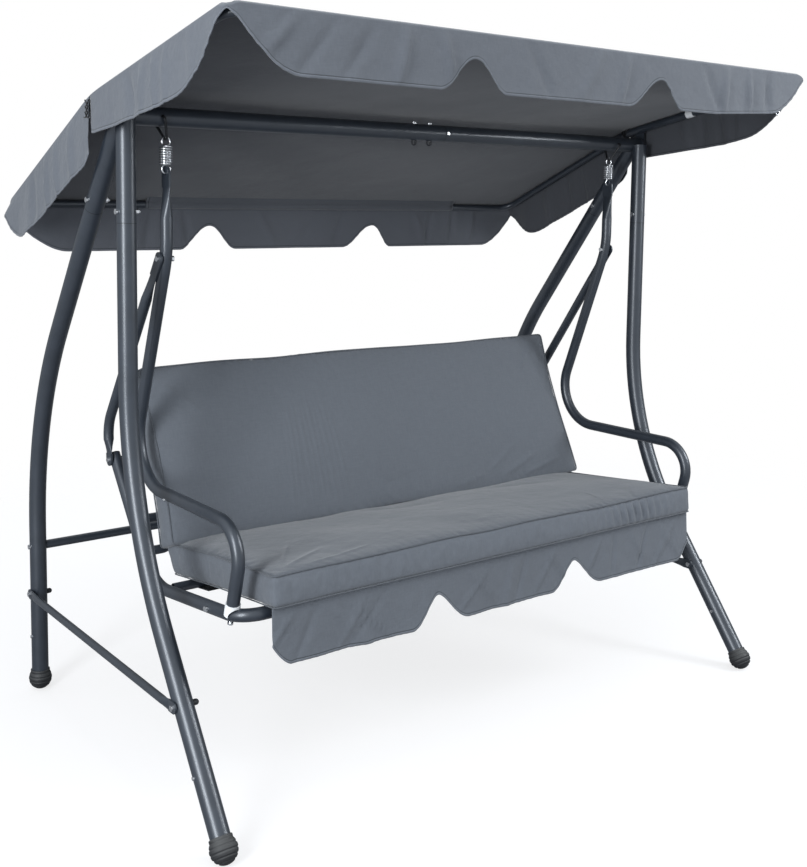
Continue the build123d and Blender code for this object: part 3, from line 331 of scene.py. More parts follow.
def hard_finish(name, dark, light, dust, metallic, rough, grain_size, bump, coat):
    """Painted, plated, rubber or plastic surface with grain and dust."""
    material, tree, surface = new_material(name)
    place = add_node(tree, "ShaderNodeTexCoord").outputs["Object"]
    grain = use_group(tree, grain_tree, place)
    grain.inputs["Size"].default_value = grain_size
    share = spread_value(tree, grain.outputs["Mask"], 0, 1)
    dusty = use_group(tree, dust_tree, place)
    dust_share = math_node(tree, "MULTIPLY", dusty.outputs["Mask"], dust)
    paint = color_mix(tree, share, dark, light)
    tree.links.new(color_mix(tree, dust_share, paint, dust_color),
                   surface.inputs["Base Color"])
    tree.links.new(spread_value(tree, grain.outputs["Mask"], *rough), surface.inputs["Roughness"])
    tree.links.new(bumped(tree, grain.outputs["Height"], bump, grain_height),
                   surface.inputs["Normal"])
    surface.inputs["Metallic"].default_value = metallic
    surface.inputs["Coat Weight"].default_value = coat
    surface.inputs["Coat Roughness"].default_value = coat_roughness
    return material


powder_coat = hard_finish("powder_coat", (0.025, 0.032, 0.043), (0.031, 0.039, 0.053), 0.04,
                          0.30, (0.34, 0.38), 950, 0.006, 0.60)
bright_zinc = hard_finish("bright_zinc", (0.74, 0.75, 0.77), (0.86, 0.87, 0.89), 0.04,
                          1.0, (0.16, 0.28), 1400, 0.08, 0)
black_steel = hard_finish("black_steel", (0.012, 0.013, 0.015), (0.02, 0.021, 0.024), 0.05,
                          0.4, (0.30, 0.42), 900, 0.15, 0.1)
dark_plastic = hard_finish("dark_plastic", (0.009, 0.010, 0.013), (0.014, 0.015, 0.019), 0.08,
                           0, (0.36, 0.50), 1100, 0.15, 0)
ribbed_rubber = hard_finish("ribbed_rubber", (0.010, 0.011, 0.013), (0.017, 0.018, 0.02), 0.22,
                            0, (0.55, 0.72), 600, 0.35, 0)
white_nylon = hard_finish("white_nylon", (0.74, 0.75, 0.76), (0.83, 0.84, 0.85), 0.05,
                          0, (0.34, 0.46), 800, 0.10, 0.1)
print("hard finishes", 6)

# %% Floor finish
floor_glow = 0.72
floor_fade = (1.6, 4.0)
floor_paint, floor_tree, floor_surface = new_material("floor_paint")
floor_surface.inputs["Base Color"].default_value = (0.28, 0.28, 0.29, 1)
floor_surface.inputs["Roughness"].default_value = 0.7
floor_surface.inputs["Emission Color"].default_value = (1, 1, 1, 1)
floor_seen = add_node(floor_tree, "ShaderNodeLightPath").outputs["Is Camera Ray"]
floor_tree.links.new(math_node(floor_tree, "MULTIPLY", floor_seen, floor_glow),
                     floor_surface.inputs["Emission Strength"])
from_middle = add_node(floor_tree, "ShaderNodeVectorMath", operation="LENGTH")
floor_tree.links.new(add_node(floor_tree, "ShaderNodeTexCoord").outputs["Object"],
                     from_middle.inputs[0])
faded = ranged(floor_tree, from_middle.outputs["Value"], floor_fade, (0, 1), "SMOOTHSTEP")
output_mix(floor_tree, faded, floor_surface, add_node(floor_tree, "ShaderNodeBsdfTransparent"),
           "Material Output")
floor.data.materials.append(floor_paint)

# %% Finishes of the CAD nodes
finish_of = {
    "zinc": bright_zinc,
    "loop_steel": black_steel,
    "dark_cap": dark_plastic,
    "foot_rubber": ribbed_rubber,
    "white_nylon": white_nylon,
    "frame_paint": powder_coat,
}
slot_of = {part["node"]: part["material_slot"] for part in frame["record"]["subparts"]}
for node_name, node in frame["nodes"].items():
    finish = finish_of.get(slot_of.get(node_name), powder_coat)
    node.data.materials.clear()
    node.data.materials.append(finish)
print("slots", sorted(set(slot_of.values())))

# %% [markdown]
# The cloth is a grey polyester with a plain weave. Close up it shows threads, and from afar the
# uneven threads leave faint lines along and across it. Sheen lightens it at a grazing view. The
# hems of hanging pieces are bound with a narrow tape and a row of stitches. The tape is painted a
# little paler, a painted highlight where light catches the hem, and a thin dark line just above it
# is painted shade along the seam.

# %% Cloth finishes
hem_width = 0.0062
stitch_line, stitch_half, stitch_length = 0.0052, 0.0005, 0.0035
# the thin dark line just above the hem tape is painted shade along the seam
seam_shade_line, seam_shade_half = 0.0076, 0.0013
thread_height, wrinkle_height, stitch_height = 0.0003, 0.006, 0.0006
wrinkle_grain = (17, 17, 17)


def toned(color, factor):
    """Colour made paler or darker."""
    return tuple(factor * part for part in color)


def cloth_finish(name, dark, light, turn=0.0, mapped=False, relief=0.5):
    """Woven cloth. Mapped pieces carry their own maps; others turn object coordinates."""
    material, tree, surface = new_material(name)
    if mapped:
        place = add_node(tree, "ShaderNodeUVMap", uv_map="cloth").outputs["UV"]
    else:
        laid = add_node(tree, "ShaderNodeMapping")
        laid.inputs["Rotation"].default_value = (turn, 0, 0)
        tree.links.new(add_node(tree, "ShaderNodeTexCoord").outputs["Object"],
                       laid.inputs["Vector"])
        place = laid.outputs["Vector"]
    weave = use_group(tree, weave_tree, place)
    share = spread_value(tree, weave.outputs["Tone"], 0, 1)
    color = color_mix(tree, share, dark, light)
    normal = bumped(tree, weave.outputs["Height"], 0.35, thread_height)
    wrinkles = stretched_noise(tree, place, wrinkle_grain, 3)
    normal = bumped(tree, wrinkles, relief, wrinkle_height, normal)
    if mapped:
        hem_map = add_node(tree, "ShaderNodeUVMap", uv_map="hem").outputs["UV"]
        hem_axes = add_node(tree, "ShaderNodeSeparateXYZ")
        tree.links.new(hem_map, hem_axes.inputs[0])
        tape = math_node(tree, "LESS_THAN", hem_axes.outputs["Y"], hem_width)
        seam = close_to(tree, hem_axes.outputs["Y"], stitch_line, stitch_half)
        dashes = math_node(tree, "MULTIPLY", hem_axes.outputs["X"], 2 * math.pi / stitch_length)
        dashes = math_node(tree, "SINE", dashes, 0)
        dashes = math_node(tree, "GREATER_THAN", dashes, -0.3)
        stitches = math_node(tree, "MULTIPLY", seam, dashes)
        # the bound tape is real; its paler tone is a painted highlight where light catches the hem
        color = color_mix(tree, math_node(tree, "MULTIPLY", tape, 0.4), color,
                          toned(light, 1.35))
        # thin dark line above the tape: painted shade along the seam, colour only
        groove_and_seam_shade = close_to(tree, hem_axes.outputs["Y"], seam_shade_line, seam_shade_half)
        color = color_mix(tree, math_node(tree, "MULTIPLY", groove_and_seam_shade, 0.8), color,
                          toned(dark, 0.35))
        color = color_mix(tree, stitches, color, toned(light, 1.5))
        normal = bumped(tree, stitches, 0.6, stitch_height, normal)
    tree.links.new(color, surface.inputs["Base Color"])
    tree.links.new(normal, surface.inputs["Normal"])
    tree.links.new(spread_value(tree, weave.outputs["Tone"], 0.78, 0.92),
                   surface.inputs["Roughness"])
    surface.inputs["Sheen Weight"].default_value = 0.25
    surface.inputs["Sheen Roughness"].default_value = 0.45
    surface.inputs["Specular IOR Level"].default_value = 0.3
    return material


seat_tilt = math.radians(6.3)
back_lean = math.radians(23)
cushion_dark = (0.094, 0.104, 0.121)
cushion_light = (0.120, 0.132, 0.152)
# the welt cloth is darker than the cushions: painted shade of the dark crease along each seam
welt_shade_tone = (0.078, 0.086, 0.099)
seat_cloth = cloth_finish("seat_cloth", cushion_dark, cushion_light, seat_tilt, relief=0.7)
back_cloth = cloth_finish("back_cloth", cushion_dark, cushion_light, back_lean - math.pi / 2,
                          relief=0.7)
welt_painted_shade = cloth_finish("welt_painted_shade", welt_shade_tone, toned(welt_shade_tone, 1.15))
skirt_cloth = cloth_finish("skirt_cloth", cushion_dark, cushion_light, mapped=True, relief=0.9)
roof_cloth = cloth_finish("roof_cloth", (0.088, 0.096, 0.112), (0.113, 0.123, 0.142),
                          mapped=True, relief=0.9)
# inner faces of the canopy: the roof cloth painted darker, a painted shade under the roof
roof_painted_shade = cloth_finish("roof_painted_shade", (0.064, 0.067, 0.077), (0.071, 0.075, 0.086),
                           mapped=True, relief=0.25)
# inner face of the rear valance: painted lighter than under the roof, a painted light where more
# light reaches it
rear_valance_painted_light = cloth_finish("rear_valance_painted_light", (0.094, 0.100, 0.116), (0.103, 0.110, 0.128),
                              mapped=True, relief=0.5)
sling_cloth = cloth_finish("sling_cloth", (0.016, 0.017, 0.019), (0.026, 0.027, 0.03),
                           mapped=True)
lace_cloth = cloth_finish("lace_cloth", (0.008, 0.008, 0.009), (0.014, 0.014, 0.016))
print("cloth finishes", 9)

# %% [markdown]
# Each leg ends in a hollow rubber ball with four ribs and a collar that grips the tube. One
# turned profile makes it: the arc of the ball with its grooves, the collar and the socket. A spin
# is the natural way, because the real mould was turned. The flat where it stands is cut last.

# %% Ball feet
beam_y = -0.0274
frame_half = 0.923
ball_radius = 0.033
ball_height = 0.0325
collar_radius = 0.0275
collar_top = 0.027
tube_radius = 0.024
groove_angles = (-52, -30, -8, 14)
groove_depth = 0.0016
front_foot_reach, rear_foot_reach = -0.509, 0.627


def finish_piece(shape, name, material):
    """Turn a bmesh into a smooth object in the scene."""
    mesh = bpy.data.meshes.new(name)
    shape.to_mesh(mesh)
    shape.free()
    mesh.materials.append(material)
    mesh.shade_smooth()
    return put(name, mesh)


def ball_profile():
    """Radius and height of the ball's outline, from its lowest point up."""
    outline = []
    for step in range(61):
        angle = -90 + step * 125 / 60
        depth = sum(groove_depth * math.exp(-((angle - groove_and_seam_shade) / 3.2) ** 2)
                    for groove_and_seam_shade in groove_angles)
        reach = ball_radius - depth
        outline.append((reach * math.cos(math.radians(angle)),
                        reach * math.sin(math.radians(angle))))
    outline += [(collar_radius, 0.0205), (collar_radius, collar_top - 0.0015),
                (collar_radius - 0.0015, collar_top), (tube_radius + 0.001, collar_top),
                (tube_radius + 0.0004, collar_top - 0.001), (tube_radius + 0.0004, 0.008)]
    return outline


def spin_ball(shape, place, up):
    """Add one ball foot, turned about its leg's line and flattened on the floor."""
    part = bmesh.new()
    corners = [part.verts.new((radius, 0, height)) for radius, height in ball_profile()]
    edges = [part.edges.new(pair) for pair in zip(corners[:-1], corners[1:])]
    bmesh.ops.spin(part, geom=corners + edges, cent=(0, 0, 0), axis=(0, 0, 1), dvec=(0, 0, 0),
                   angle=2 * math.pi, steps=64, use_merge=True, use_normal_flip=False,
                   use_duplicate=False)
    bmesh.ops.remove_doubles(part, verts=part.verts, dist=1e-5)
    bmesh.ops.recalc_face_normals(part, faces=part.faces)
    lean = Vector((0, 0, 1)).rotation_difference(up).to_matrix().to_4x4()
    part.transform(Matrix.Translation(place) @ lean)
    cut = bmesh.ops.bisect_plane(part, geom=part.verts[:] + part.edges[:] + part.faces[:],
                                 dist=1e-6, plane_co=(0, 0, 0), plane_no=(0, 0, 1),
                                 clear_inner=True)
    rim = [item for item in cut["geom_cut"] if isinstance(item, bmesh.types.BMEdge)]
    if rim:
        bmesh.ops.edgeloop_fill(part, edges=rim)
    mesh = bpy.data.meshes.new("ball")
    part.to_mesh(mesh)
    part.free()
    shape.from_mesh(mesh)
    bpy.data.meshes.remove(mesh)


front_leg_up = (Vector((0, -0.028, 0.686))
                - Vector((0, front_foot_reach, ball_height))).normalized()
for feet, reach, up in (("front_feet", front_foot_reach, front_leg_up),
                        ("rear_feet", rear_foot_reach, Vector((0, 0, 1)))):
    shape = bmesh.new()
    for side in (-1, 1):
        spin_ball(shape, Vector((side * frame_half, beam_y + reach, ball_height)), up)
    balls = finish_piece(shape, feet + "_balls", ribbed_rubber)
    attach(balls, "frame")
    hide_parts(feet)
    print(balls.name, len(balls.data.polygons))

# %% [markdown]
# Where two tubes are pushed together, the edge of the outer one leaves a dark line round the
# joint. A short open band, a hair wider than the tube, draws each line.

# %% Seam lines
tube_face = 0.0242
beam_z = 1.664
rear_slope = (Vector((0, rear_foot_reach, 0.828)) - Vector((0, 0, beam_z))).normalized()
across = Vector((1, 0, 0))
seam_places = [(Vector((0.082, beam_y, beam_z)), across)]
for side in (-1, 1):
    seam_places.append((Vector((side * frame_half, beam_y - 0.028, beam_z - 0.262)),
                        Vector((0, 0, 1))))
    seam_places.append((Vector((side * frame_half, beam_y, beam_z)) + rear_slope * 0.286,
                        rear_slope))
shape = bmesh.new()
for centre, along in seam_places:
    turned = Vector((0, 0, 1)).rotation_difference(along).to_matrix().to_4x4()
    bmesh.ops.create_cone(shape, segments=64, radius1=tube_face, radius2=tube_face, depth=0.0016,
                          matrix=Matrix.Translation(centre) @ turned)
seam_lines = finish_piece(shape, "seam_lines", black_steel)
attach(seam_lines, "frame")
print("seam lines", len(seam_places))

# %% [markdown]
# Both cushions are foam slabs in a sewn box cover. A box with rounded edges is given an even skin
# by a voxel remesh, and a cloth simulation under a little pressure fills it while its seams stay
# put, so that the panels swell between the seams. The seams, puckers and creases come after.

# %% Cushion places
rail_bend_reach = 0.093
rail_bend_height = 0.441


def on_rail(reach):
    """Axis of the side rails' seat run, seen from the side."""
    rise = (rail_bend_reach - reach) * math.tan(seat_tilt)
    return Vector((0, beam_y + reach, rail_bend_height + rise))


seat_up = Vector((0, math.sin(seat_tilt), math.cos(seat_tilt)))
back_up = Vector((0, math.sin(back_lean), math.cos(back_lean)))
back_forward = Vector((0, -math.cos(back_lean), math.sin(back_lean)))
rail_corner = on_rail(rail_bend_reach)
rail_rise = (Vector((0, beam_y + 0.329, 0.738)) - rail_corner).normalized()
back_foot = rail_corner + rail_rise * 0.096


def laid_on(origin, up):
    """Matrix that lays a flat piece on a plane across the swing."""
    turned = Matrix((across, up.cross(across), up)).transposed().to_4x4()
    return Matrix.Translation(origin) @ turned


seat_place = laid_on(on_rail(0) + seat_up * 0.0185, seat_up)
back_place = laid_on(back_foot + back_forward * 0.0150, back_forward)
print("seat plane", [round(v, 4) for v in seat_place.translation])

# %% Slab with an even skin
edge_round = 0.008
skin_size = 0.008


def evaluated(piece):
    """Mesh of a piece with its modifiers applied."""
    graph = bpy.context.evaluated_depsgraph_get()
    return bpy.data.meshes.new_from_object(piece.evaluated_get(graph), depsgraph=graph)


def apply_modifiers(piece):
    """Replace a piece's mesh by its evaluated one."""
    mesh = evaluated(piece)
    old = piece.data
    piece.modifiers.clear()
    piece.data = mesh
    bpy.data.meshes.remove(old)


def points_of(piece):
    """Vertex places as an array."""
    places = np.zeros(len(piece.data.vertices) * 3)
    piece.data.vertices.foreach_get("co", places)
    return places.reshape(-1, 3)


def set_points(piece, places):
    piece.data.vertices.foreach_set("co", places.ravel())
    piece.data.update()


def slab(name, width, low, high, thickness, material):
    """Rounded box from low to high along its depth, with an even skin."""
    shape = bmesh.new()
    bmesh.ops.create_cube(shape, size=1)
    bmesh.ops.scale(shape, vec=(width, high - low, thickness), verts=shape.verts)
    bmesh.ops.translate(shape, vec=(0, (low + high) / 2, thickness / 2), verts=shape.verts)
    bmesh.ops.bevel(shape, geom=shape.edges[:], offset=edge_round, offset_type="OFFSET",
                    segments=3, profile=0.5, affect="EDGES", material=-1)
    piece = finish_piece(shape, name, material)
    skin = piece.modifiers.new("skin", "REMESH")
    skin.mode = "VOXEL"
    skin.voxel_size = skin_size
    skin.use_smooth_shade = True
    apply_modifiers(piece)
    return piece


# %% Filling
seam_reach = 0.0085
filling_frames = 20


def seam_distance(places, width, low, high, thickness):
    """Distance of each point to the nearest sewn edge of the box."""
    from_side = width / 2 - np.abs(places[:, 0])
    from_end = np.minimum(places[:, 1] - low, high - places[:, 1])
    from_face = np.minimum(places[:, 2], thickness - places[:, 2])
    nearest = np.sort(np.stack([from_side, from_end, from_face], 1), axis=1)
    return np.hypot(nearest[:, 0], nearest[:, 1])


def fill(piece, size, pressure, cap, slack):
    """Swell the panels between the seams by a cloth simulation, softly capped."""
    rest = points_of(piece)
    sewn = seam_distance(rest, *size) < seam_reach
    pins = piece.vertex_groups.new(name="seams")
    pins.add([int(i) for i in np.nonzero(sewn)[0]], 1.0, "REPLACE")
    cloth = piece.modifiers.new("filling", "CLOTH")
    settings = cloth.settings
    settings.quality = 4
    settings.mass = 0.3
    settings.tension_stiffness = 12
    settings.compression_stiffness = 12
    settings.shear_stiffness = 4
    settings.bending_stiffness = 0.4
    settings.shrink_min = -slack
    settings.use_pressure = True
    settings.uniform_pressure_force = pressure
    settings.effector_weights.gravity = 0
    settings.vertex_group_mass = "seams"
    cloth.collision_settings.use_collision = False
    cloth.collision_settings.use_self_collision = False
    for step in range(1, filling_frames + 1):
        scene.frame_set(step)
    apply_modifiers(piece)
    scene.frame_set(1)
    moved = points_of(piece) - rest
    length = np.linalg.norm(moved, axis=1, keepdims=True)
    capped = rest + moved * (cap / (cap + length))
    capped[:, 2] = np.maximum(capped[:, 2], 0)
    set_points(piece, capped)
    return float(length.max())


# %% Shaping after the filling
side_draw = 0.009
pucker_pitch = 0.041
pucker_height, pucker_push = 0.0016, 0.0010
uneven_height = 0.0032


def near_line(places, start, end):
    """Distance of each point from a line on the face, and its share along the line."""
    run = np.array(end) - np.array(start)
    share = ((places[:, :2] - np.array(start)) @ run) / (run @ run)
    foot = np.array(start) + np.clip(share, 0, 1)[:, None] * run
    return np.linalg.norm(places[:, :2] - foot, axis=1), share


def crease(places, faces_up, start, end, width, height):
    """Raise or press a soft fold along a line on the face, faded at its ends."""
    away, share = near_line(places, start, end)
    fade = np.clip(np.minimum(share, 1 - share) * 4, 0, 1)
    places[:, 2] += height * np.exp(-(away / width) ** 2) * fade * faces_up


def noise_at(places, scale, seed):
    """Slow noise at each point."""
    return np.array([noise.noise(Vector(p) * scale + Vector((seed, seed, seed)))
                     for p in places])


def shape_slab(piece, size, crown, seed):
    """Crown, drawn-in sides, puckers along the seams and soft unevenness."""
    width, low, high, thickness = size
    places = points_of(piece)
    across = np.clip(np.abs(places[:, 0]) / (width / 2), 0, 1)
    along = np.clip((2 * places[:, 1] - low - high) / (high - low), -1, 1)
    up = np.clip(places[:, 2] / thickness, 0, 1)
    places[:, 0] -= np.sign(places[:, 0]) * side_draw * across ** 6 * (1 - along ** 2)
    places[:, 2] += crown * (1 - across ** 4) * (1 - along ** 2) * up
    seam = seam_distance(points_of(piece), *size)
    near = np.exp(-seam / 0.016) * (1 - np.exp(-(seam / 0.004) ** 2))
    wander = noise_at(places, 7.0, seed)
    gather = np.sin(2 * math.pi * (places[:, 0] + places[:, 1]) / pucker_pitch + 9 * wander)
    gather *= np.clip(0.35 + 1.3 * noise_at(places, 3.0, seed + 5), 0, 1)
    places[:, 2] += pucker_height * gather * near * up
    places[:, 1] += np.sign(along) * pucker_push * gather * near * (np.abs(along) > 0.9)
    places[:, 2] += uneven_height * noise_at(places, 4.0, seed + 11) * up
    set_points(piece, places)


def loosen(piece, reach, scale, seed):
    """Slow unevenness of the whole cushion, edges too."""
    places = points_of(piece)
    places[:, 0] += reach * noise_at(places, scale, seed)
    places[:, 1] += reach * noise_at(places, scale, seed + 20)
    places[:, 2] += reach * noise_at(places, scale, seed + 40) * (places[:, 2] > 0.01)
    set_points(piece, places)


def subdivide_once(piece):
    smooth = piece.modifiers.new("smooth", "SUBSURF")
    smooth.levels = 1
    smooth.render_levels = 1
    apply_modifiers(piece)


def lay(piece, matrix, cloth_body, node_name):
    piece.data.transform(matrix)
    piece.data.shade_smooth()
    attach(piece, cloth_body)
    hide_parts(node_name)


# %% [markdown]
# The seat cushion lies on the sling, a box mattress 1.5 m wide. Its front face shows upright
# puckers towards the right end, and fine pull lines start at the left front corner.

# %% Seat cushion
seat_size = (1.500, -0.4380, 0.0860, 0.080)
seat_loose = (0.0055, 5.5, 31.0)
lean_from, lean_run, rear_gap, rear_lean = -0.10, 0.184, 0.004, 0.46
seat_pad = slab("seat_pad", *seat_size, seat_cloth)
print("seat swell", round(fill(seat_pad, seat_size, 3.0, 0.012, 0.010), 4))
subdivide_once(seat_pad)
shape_slab(seat_pad, seat_size, 0.006, 2.0)
loosen(seat_pad, *seat_loose)

places = points_of(seat_pad)
top_face = np.clip((places[:, 2] - 0.045) / 0.03, 0, 1)
for start, end, width, height in (
    ((-0.70, -0.41), (-0.52, -0.30), 0.007, 0.0030),
    ((-0.69, -0.38), (-0.56, -0.20), 0.006, 0.0025),
    ((-0.66, -0.42), (-0.40, -0.36), 0.006, 0.0022),
    ((0.52, -0.42), (0.62, -0.30), 0.007, 0.0025),
    ((0.40, -0.42), (0.44, -0.28), 0.006, 0.0020),
    ((-0.20, 0.00), (0.10, -0.06), 0.020, -0.0030),
    ((0.25, 0.02), (0.55, -0.08), 0.020, -0.0030),
):
    crease(places, top_face, start, end, width, height)
front_face = np.clip((-0.425 - places[:, 1]) / 0.008, 0, 1)
middle_height = np.sin(np.clip(places[:, 2] / 0.078, 0, 1) * math.pi)
for centre, reach, pitch, depth in ((0.50, 0.13, 0.031, 0.0046), (-0.35, 0.18, 0.11, 0.0012),
                                    (0.10, 0.25, 0.16, 0.0014)):
    window = np.exp(-((places[:, 0] - centre) / reach) ** 2)
    wave_line = np.sin(2 * math.pi * (places[:, 0] + 0.15 * places[:, 2]) / pitch)
    places[:, 1] += depth * window * wave_line * middle_height * front_face
rear_share = np.clip((places[:, 1] - lean_from) / lean_run, 0, 1)
places[:, 1] += rear_share * (rear_gap + rear_lean * places[:, 2])
set_points(seat_pad, places)
lay(seat_pad, seat_place, "seat", "seat_cushion")
print("seat pad", len(seat_pad.data.polygons))

# %% [markdown]
# The back cushion leans on the back sling. Its top edge waves a little, a bundle of fine ripples
# runs down its left third and fans out at the bottom, and a rumple lies at its lower right.

# %% Back cushion
back_size = (1.530, -0.004, 0.489, 0.076)
back_loose = (0.0055, 4.5, 71.0)
back_pad = slab("back_pad", *back_size, back_cloth)
print("back swell", round(fill(back_pad, back_size, 3.0, 0.013, 0.010), 4))
subdivide_once(back_pad)
shape_slab(back_pad, back_size, 0.007, 9.0)
loosen(back_pad, *back_loose)

places = points_of(back_pad)
front_side = np.clip((places[:, 2] - 0.045) / 0.03, 0, 1)
for index in range(10):
    foot_x = -0.375 + 0.0215 * index + 0.003 * math.sin(5 * index)
    head_x = -0.345 + 0.0165 * index
    crease(places, front_side, (foot_x, 0.015), (head_x, 0.34 + 0.03 * (index % 3)), 0.0058,
           0.0013 + 0.0004 * (index % 2))
for start, end, width, height in (
    ((0.42, 0.02), (0.60, 0.085), 0.010, 0.0055),
    ((0.52, 0.015), (0.70, 0.055), 0.009, 0.0050),
    ((0.36, 0.04), (0.52, 0.13), 0.012, 0.0035),
    ((0.22, 0.015), (0.36, 0.040), 0.010, 0.0030),
    ((-0.72, 0.44), (-0.60, 0.34), 0.008, 0.0030),
    ((0.70, 0.45), (0.60, 0.36), 0.008, 0.0030),
    ((-0.10, 0.05), (0.20, 0.09), 0.018, -0.0025),
):
    crease(places, front_side, start, end, width, height)
upper = np.clip((places[:, 1] - 0.40) / 0.083, 0, 1) ** 2
places[:, 1] += 0.004 * upper * noise_at(places * np.array([1, 0, 0]), 6.0, 3.0)
set_points(back_pad, places)
lay(back_pad, back_place, "seat", "back_cushion")
print("back pad", len(back_pad.data.polygons))

# %% [markdown]
# A thin welt closes the seams of both cushions. It is a round cord in cloth, so a bevelled curve
# round the edge of the face makes it, turned into a mesh at the end.

# %% Welts


def welt_line(size, level, reach, scale, seed, lean):
    """Points round a cushion's edge at a level, drawn in like its sides."""
    width, low, high, _ = size
    inset = 0.0016
    side = width / 2 - inset
    corners = [(-side, low + inset), (side, low + inset), (side, high - inset),
               (-side, high - inset)]
    line = []
    for start, end in zip(corners, corners[1:] + corners[:1]):
        count = max(8, round(math.dist(start, end) / 0.03))
        for step in range(count):
            share = step / count
            x = start[0] + (end[0] - start[0]) * share
            y = start[1] + (end[1] - start[1]) * share
            bow = (2 * y - low - high) / (high - low)
            x -= math.copysign(side_draw, x) * (abs(x) / (width / 2)) ** 6 * (1 - bow ** 2)
            rear_share = min(max((y - lean_from) / lean_run, 0), 1) if lean else 0
            y += rear_share * (rear_gap + lean * level)
            place = Vector((x, y, level))
            shift = [reach * noise.noise(place * scale + Vector((seed + turn,) * 3))
                     for turn in (0, 20, 40)]
            line.append(place + Vector(shift) * Vector((1, 1, level > 0.01)))
    return line


def round_cord(name, lines, radius, material):
    """Round cords along open or closed lines, as one mesh."""
    curve = bpy.data.curves.new(name, "CURVE")
    curve.dimensions = "3D"
    curve.bevel_depth = radius
    curve.bevel_resolution = 2
    for line, closed in lines:
        spline = curve.splines.new("NURBS")
        spline.points.add(len(line) - 1)
        for point, place in zip(spline.points, line):
            point.co = (*place, 1)
        spline.use_cyclic_u = closed
        spline.order_u = 3
        spline.use_endpoint_u = not closed
    cord = put(name, curve)
    mesh = evaluated(cord)
    bpy.data.objects.remove(cord)
    mesh.materials.clear()
    mesh.materials.append(material)
    mesh.shade_smooth()
    return put(name, mesh)


# the welts carry the darker cloth, painted shade along the cushion seams
for name, size, level, radius, matrix, loose, lean in (
    ("seat_welt_top", seat_size, 0.0784, 0.0021, seat_place, seat_loose, rear_lean),
    ("seat_welt_bottom", seat_size, 0.0026, 0.0018, seat_place, seat_loose, rear_lean),
    ("back_welt_front", back_size, 0.0744, 0.0023, back_place, back_loose, 0),
    ("back_welt_rear", back_size, 0.0026, 0.0020, back_place, back_loose, 0),
):
    edge = [matrix @ place for place in welt_line(size, level, *loose, lean)]
    piece = round_cord(name, [(edge, True)], radius, welt_painted_shade)
    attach(piece, "seat")
print("welts", 4)

# %% [markdown]
# The roof, its four valances and its bound hems are one sewn sheet, so they are one mesh. A flat
# grid knows each vertex's column and row. The corner blocks are deleted, each column and row gets
# its place on the bent frame or in a valance, and the corners are sewn by merging their edges.

# %% Cloth grid


def cloth_grid(columns, rows):
    """Grid of quads whose vertices carry their column and row."""
    shape = bmesh.new()
    bmesh.ops.create_grid(shape, x_segments=columns, y_segments=rows, size=0.5)
    column = shape.verts.layers.int.new("column")
    row = shape.verts.layers.int.new("row")
    shape.verts.ensure_lookup_table()
    for v in shape.verts:
        v[column] = round((v.co.x + 0.5) * columns)
        v[row] = round((v.co.y + 0.5) * rows)
    return shape, column, row


def even(start, end, step):
    """Even stations from start to end."""
    count = max(1, round((end - start) / step))
    return [start + (end - start) * k / count for k in range(count + 1)]


def ripple(along, seed, scale):
    """Slow one-dimensional noise."""
    return noise.noise(Vector((along * scale, seed, 0.37)))


broad_fold, narrow_fold = 0.0110, 0.0055
binding_pucker, binding_pitch, binding_reach = 0.0014, 0.021, 0.018


def stand_off(along, depth, drop, full_drop, seed, swing=1.0, tight=1.0):
    """How far a hanging cloth leaves its plane: slow folds and puckers at the binding."""
    share = depth / full_drop
    slow = swing * (broad_fold * ripple(along, seed, 4.5)
                    + narrow_fold * ripple(along, seed + 3, 13))
    turn = 2 * math.pi * along / binding_pitch + 5 * ripple(along, seed + 9, 8)
    pucker = tight * binding_pucker * math.sin(turn)
    near_hem = max(0.0, 1 - (drop - depth) / binding_reach)
    return slow * share ** 1.3 + pucker * near_hem


def folds(along, depth, drop, full_drop, creases):
    """Creases that fade towards the hem: place, width, height and lean of each."""
    grown = math.sin(math.pi * min(0.5, depth / full_drop)) * min(1, 0.3 + (drop - depth) / 0.05)
    return grown * sum(height * math.exp(-((along + lean * depth - centre) / width) ** 2)
                       for centre, width, height, lean in creases)


def notch(along, centre, width, rise, power=1.08):
    """Rise of a rounded notch in the hem; a lower power gives it longer feet."""
    away = abs(along - centre) / (width / 2)
    if away >= 1:
        return 0.0
    return rise * (0.5 + 0.5 * math.cos(math.pi * away ** power))


def corner_rise(distance, width, rise):
    """Rise of the hem along a rounded end."""
    if distance >= width:
        return 0.0
    radius = (width ** 2 + rise ** 2) / (2 * rise)
    return radius - math.sqrt(radius ** 2 - (width - max(distance, 0)) ** 2)


tape = 0.006
tape_step = 0.0025
cloth_wall = 0.0012


def hem_depths(drop, shares):
    """Depth of each row of a valance; the last rows make the bound hem."""
    body = drop - tape - tape_step
    return [share * body for share in shares] + [drop - tape, drop]


def bind(piece, weights):
    """Give a cloth its thickness, doubled where the hem is bound."""
    group = piece.vertex_groups.new(name="binding")
    group.add([i for i, heavy in enumerate(weights) if heavy], 1.0, "REPLACE")
    wall = piece.modifiers.new("wall", "SOLIDIFY")
    wall.thickness = 2 * cloth_wall
    wall.offset = 0
    wall.vertex_group = "binding"
    wall.thickness_vertex_group = 0.5
    return wall


def map_cloth(shape, maps):
    """Lay the cloth map and the hem map on a shape. Gives the flat area."""
    cloth = shape.loops.layers.uv.new("cloth")
    hem = shape.loops.layers.uv.new("hem")
    area = 0.0
    for f in shape.faces:
        corners = []
        for loop in f.loops:
            loop[cloth].uv, loop[hem].uv = maps[loop.vert.index]
            corners.append(maps[loop.vert.index][0])
        turns_round = zip(corners, corners[1:] + corners[:1])
        area += abs(sum(a[0] * b[1] - b[0] * a[1] for a, b in turns_round)) / 2
    return area


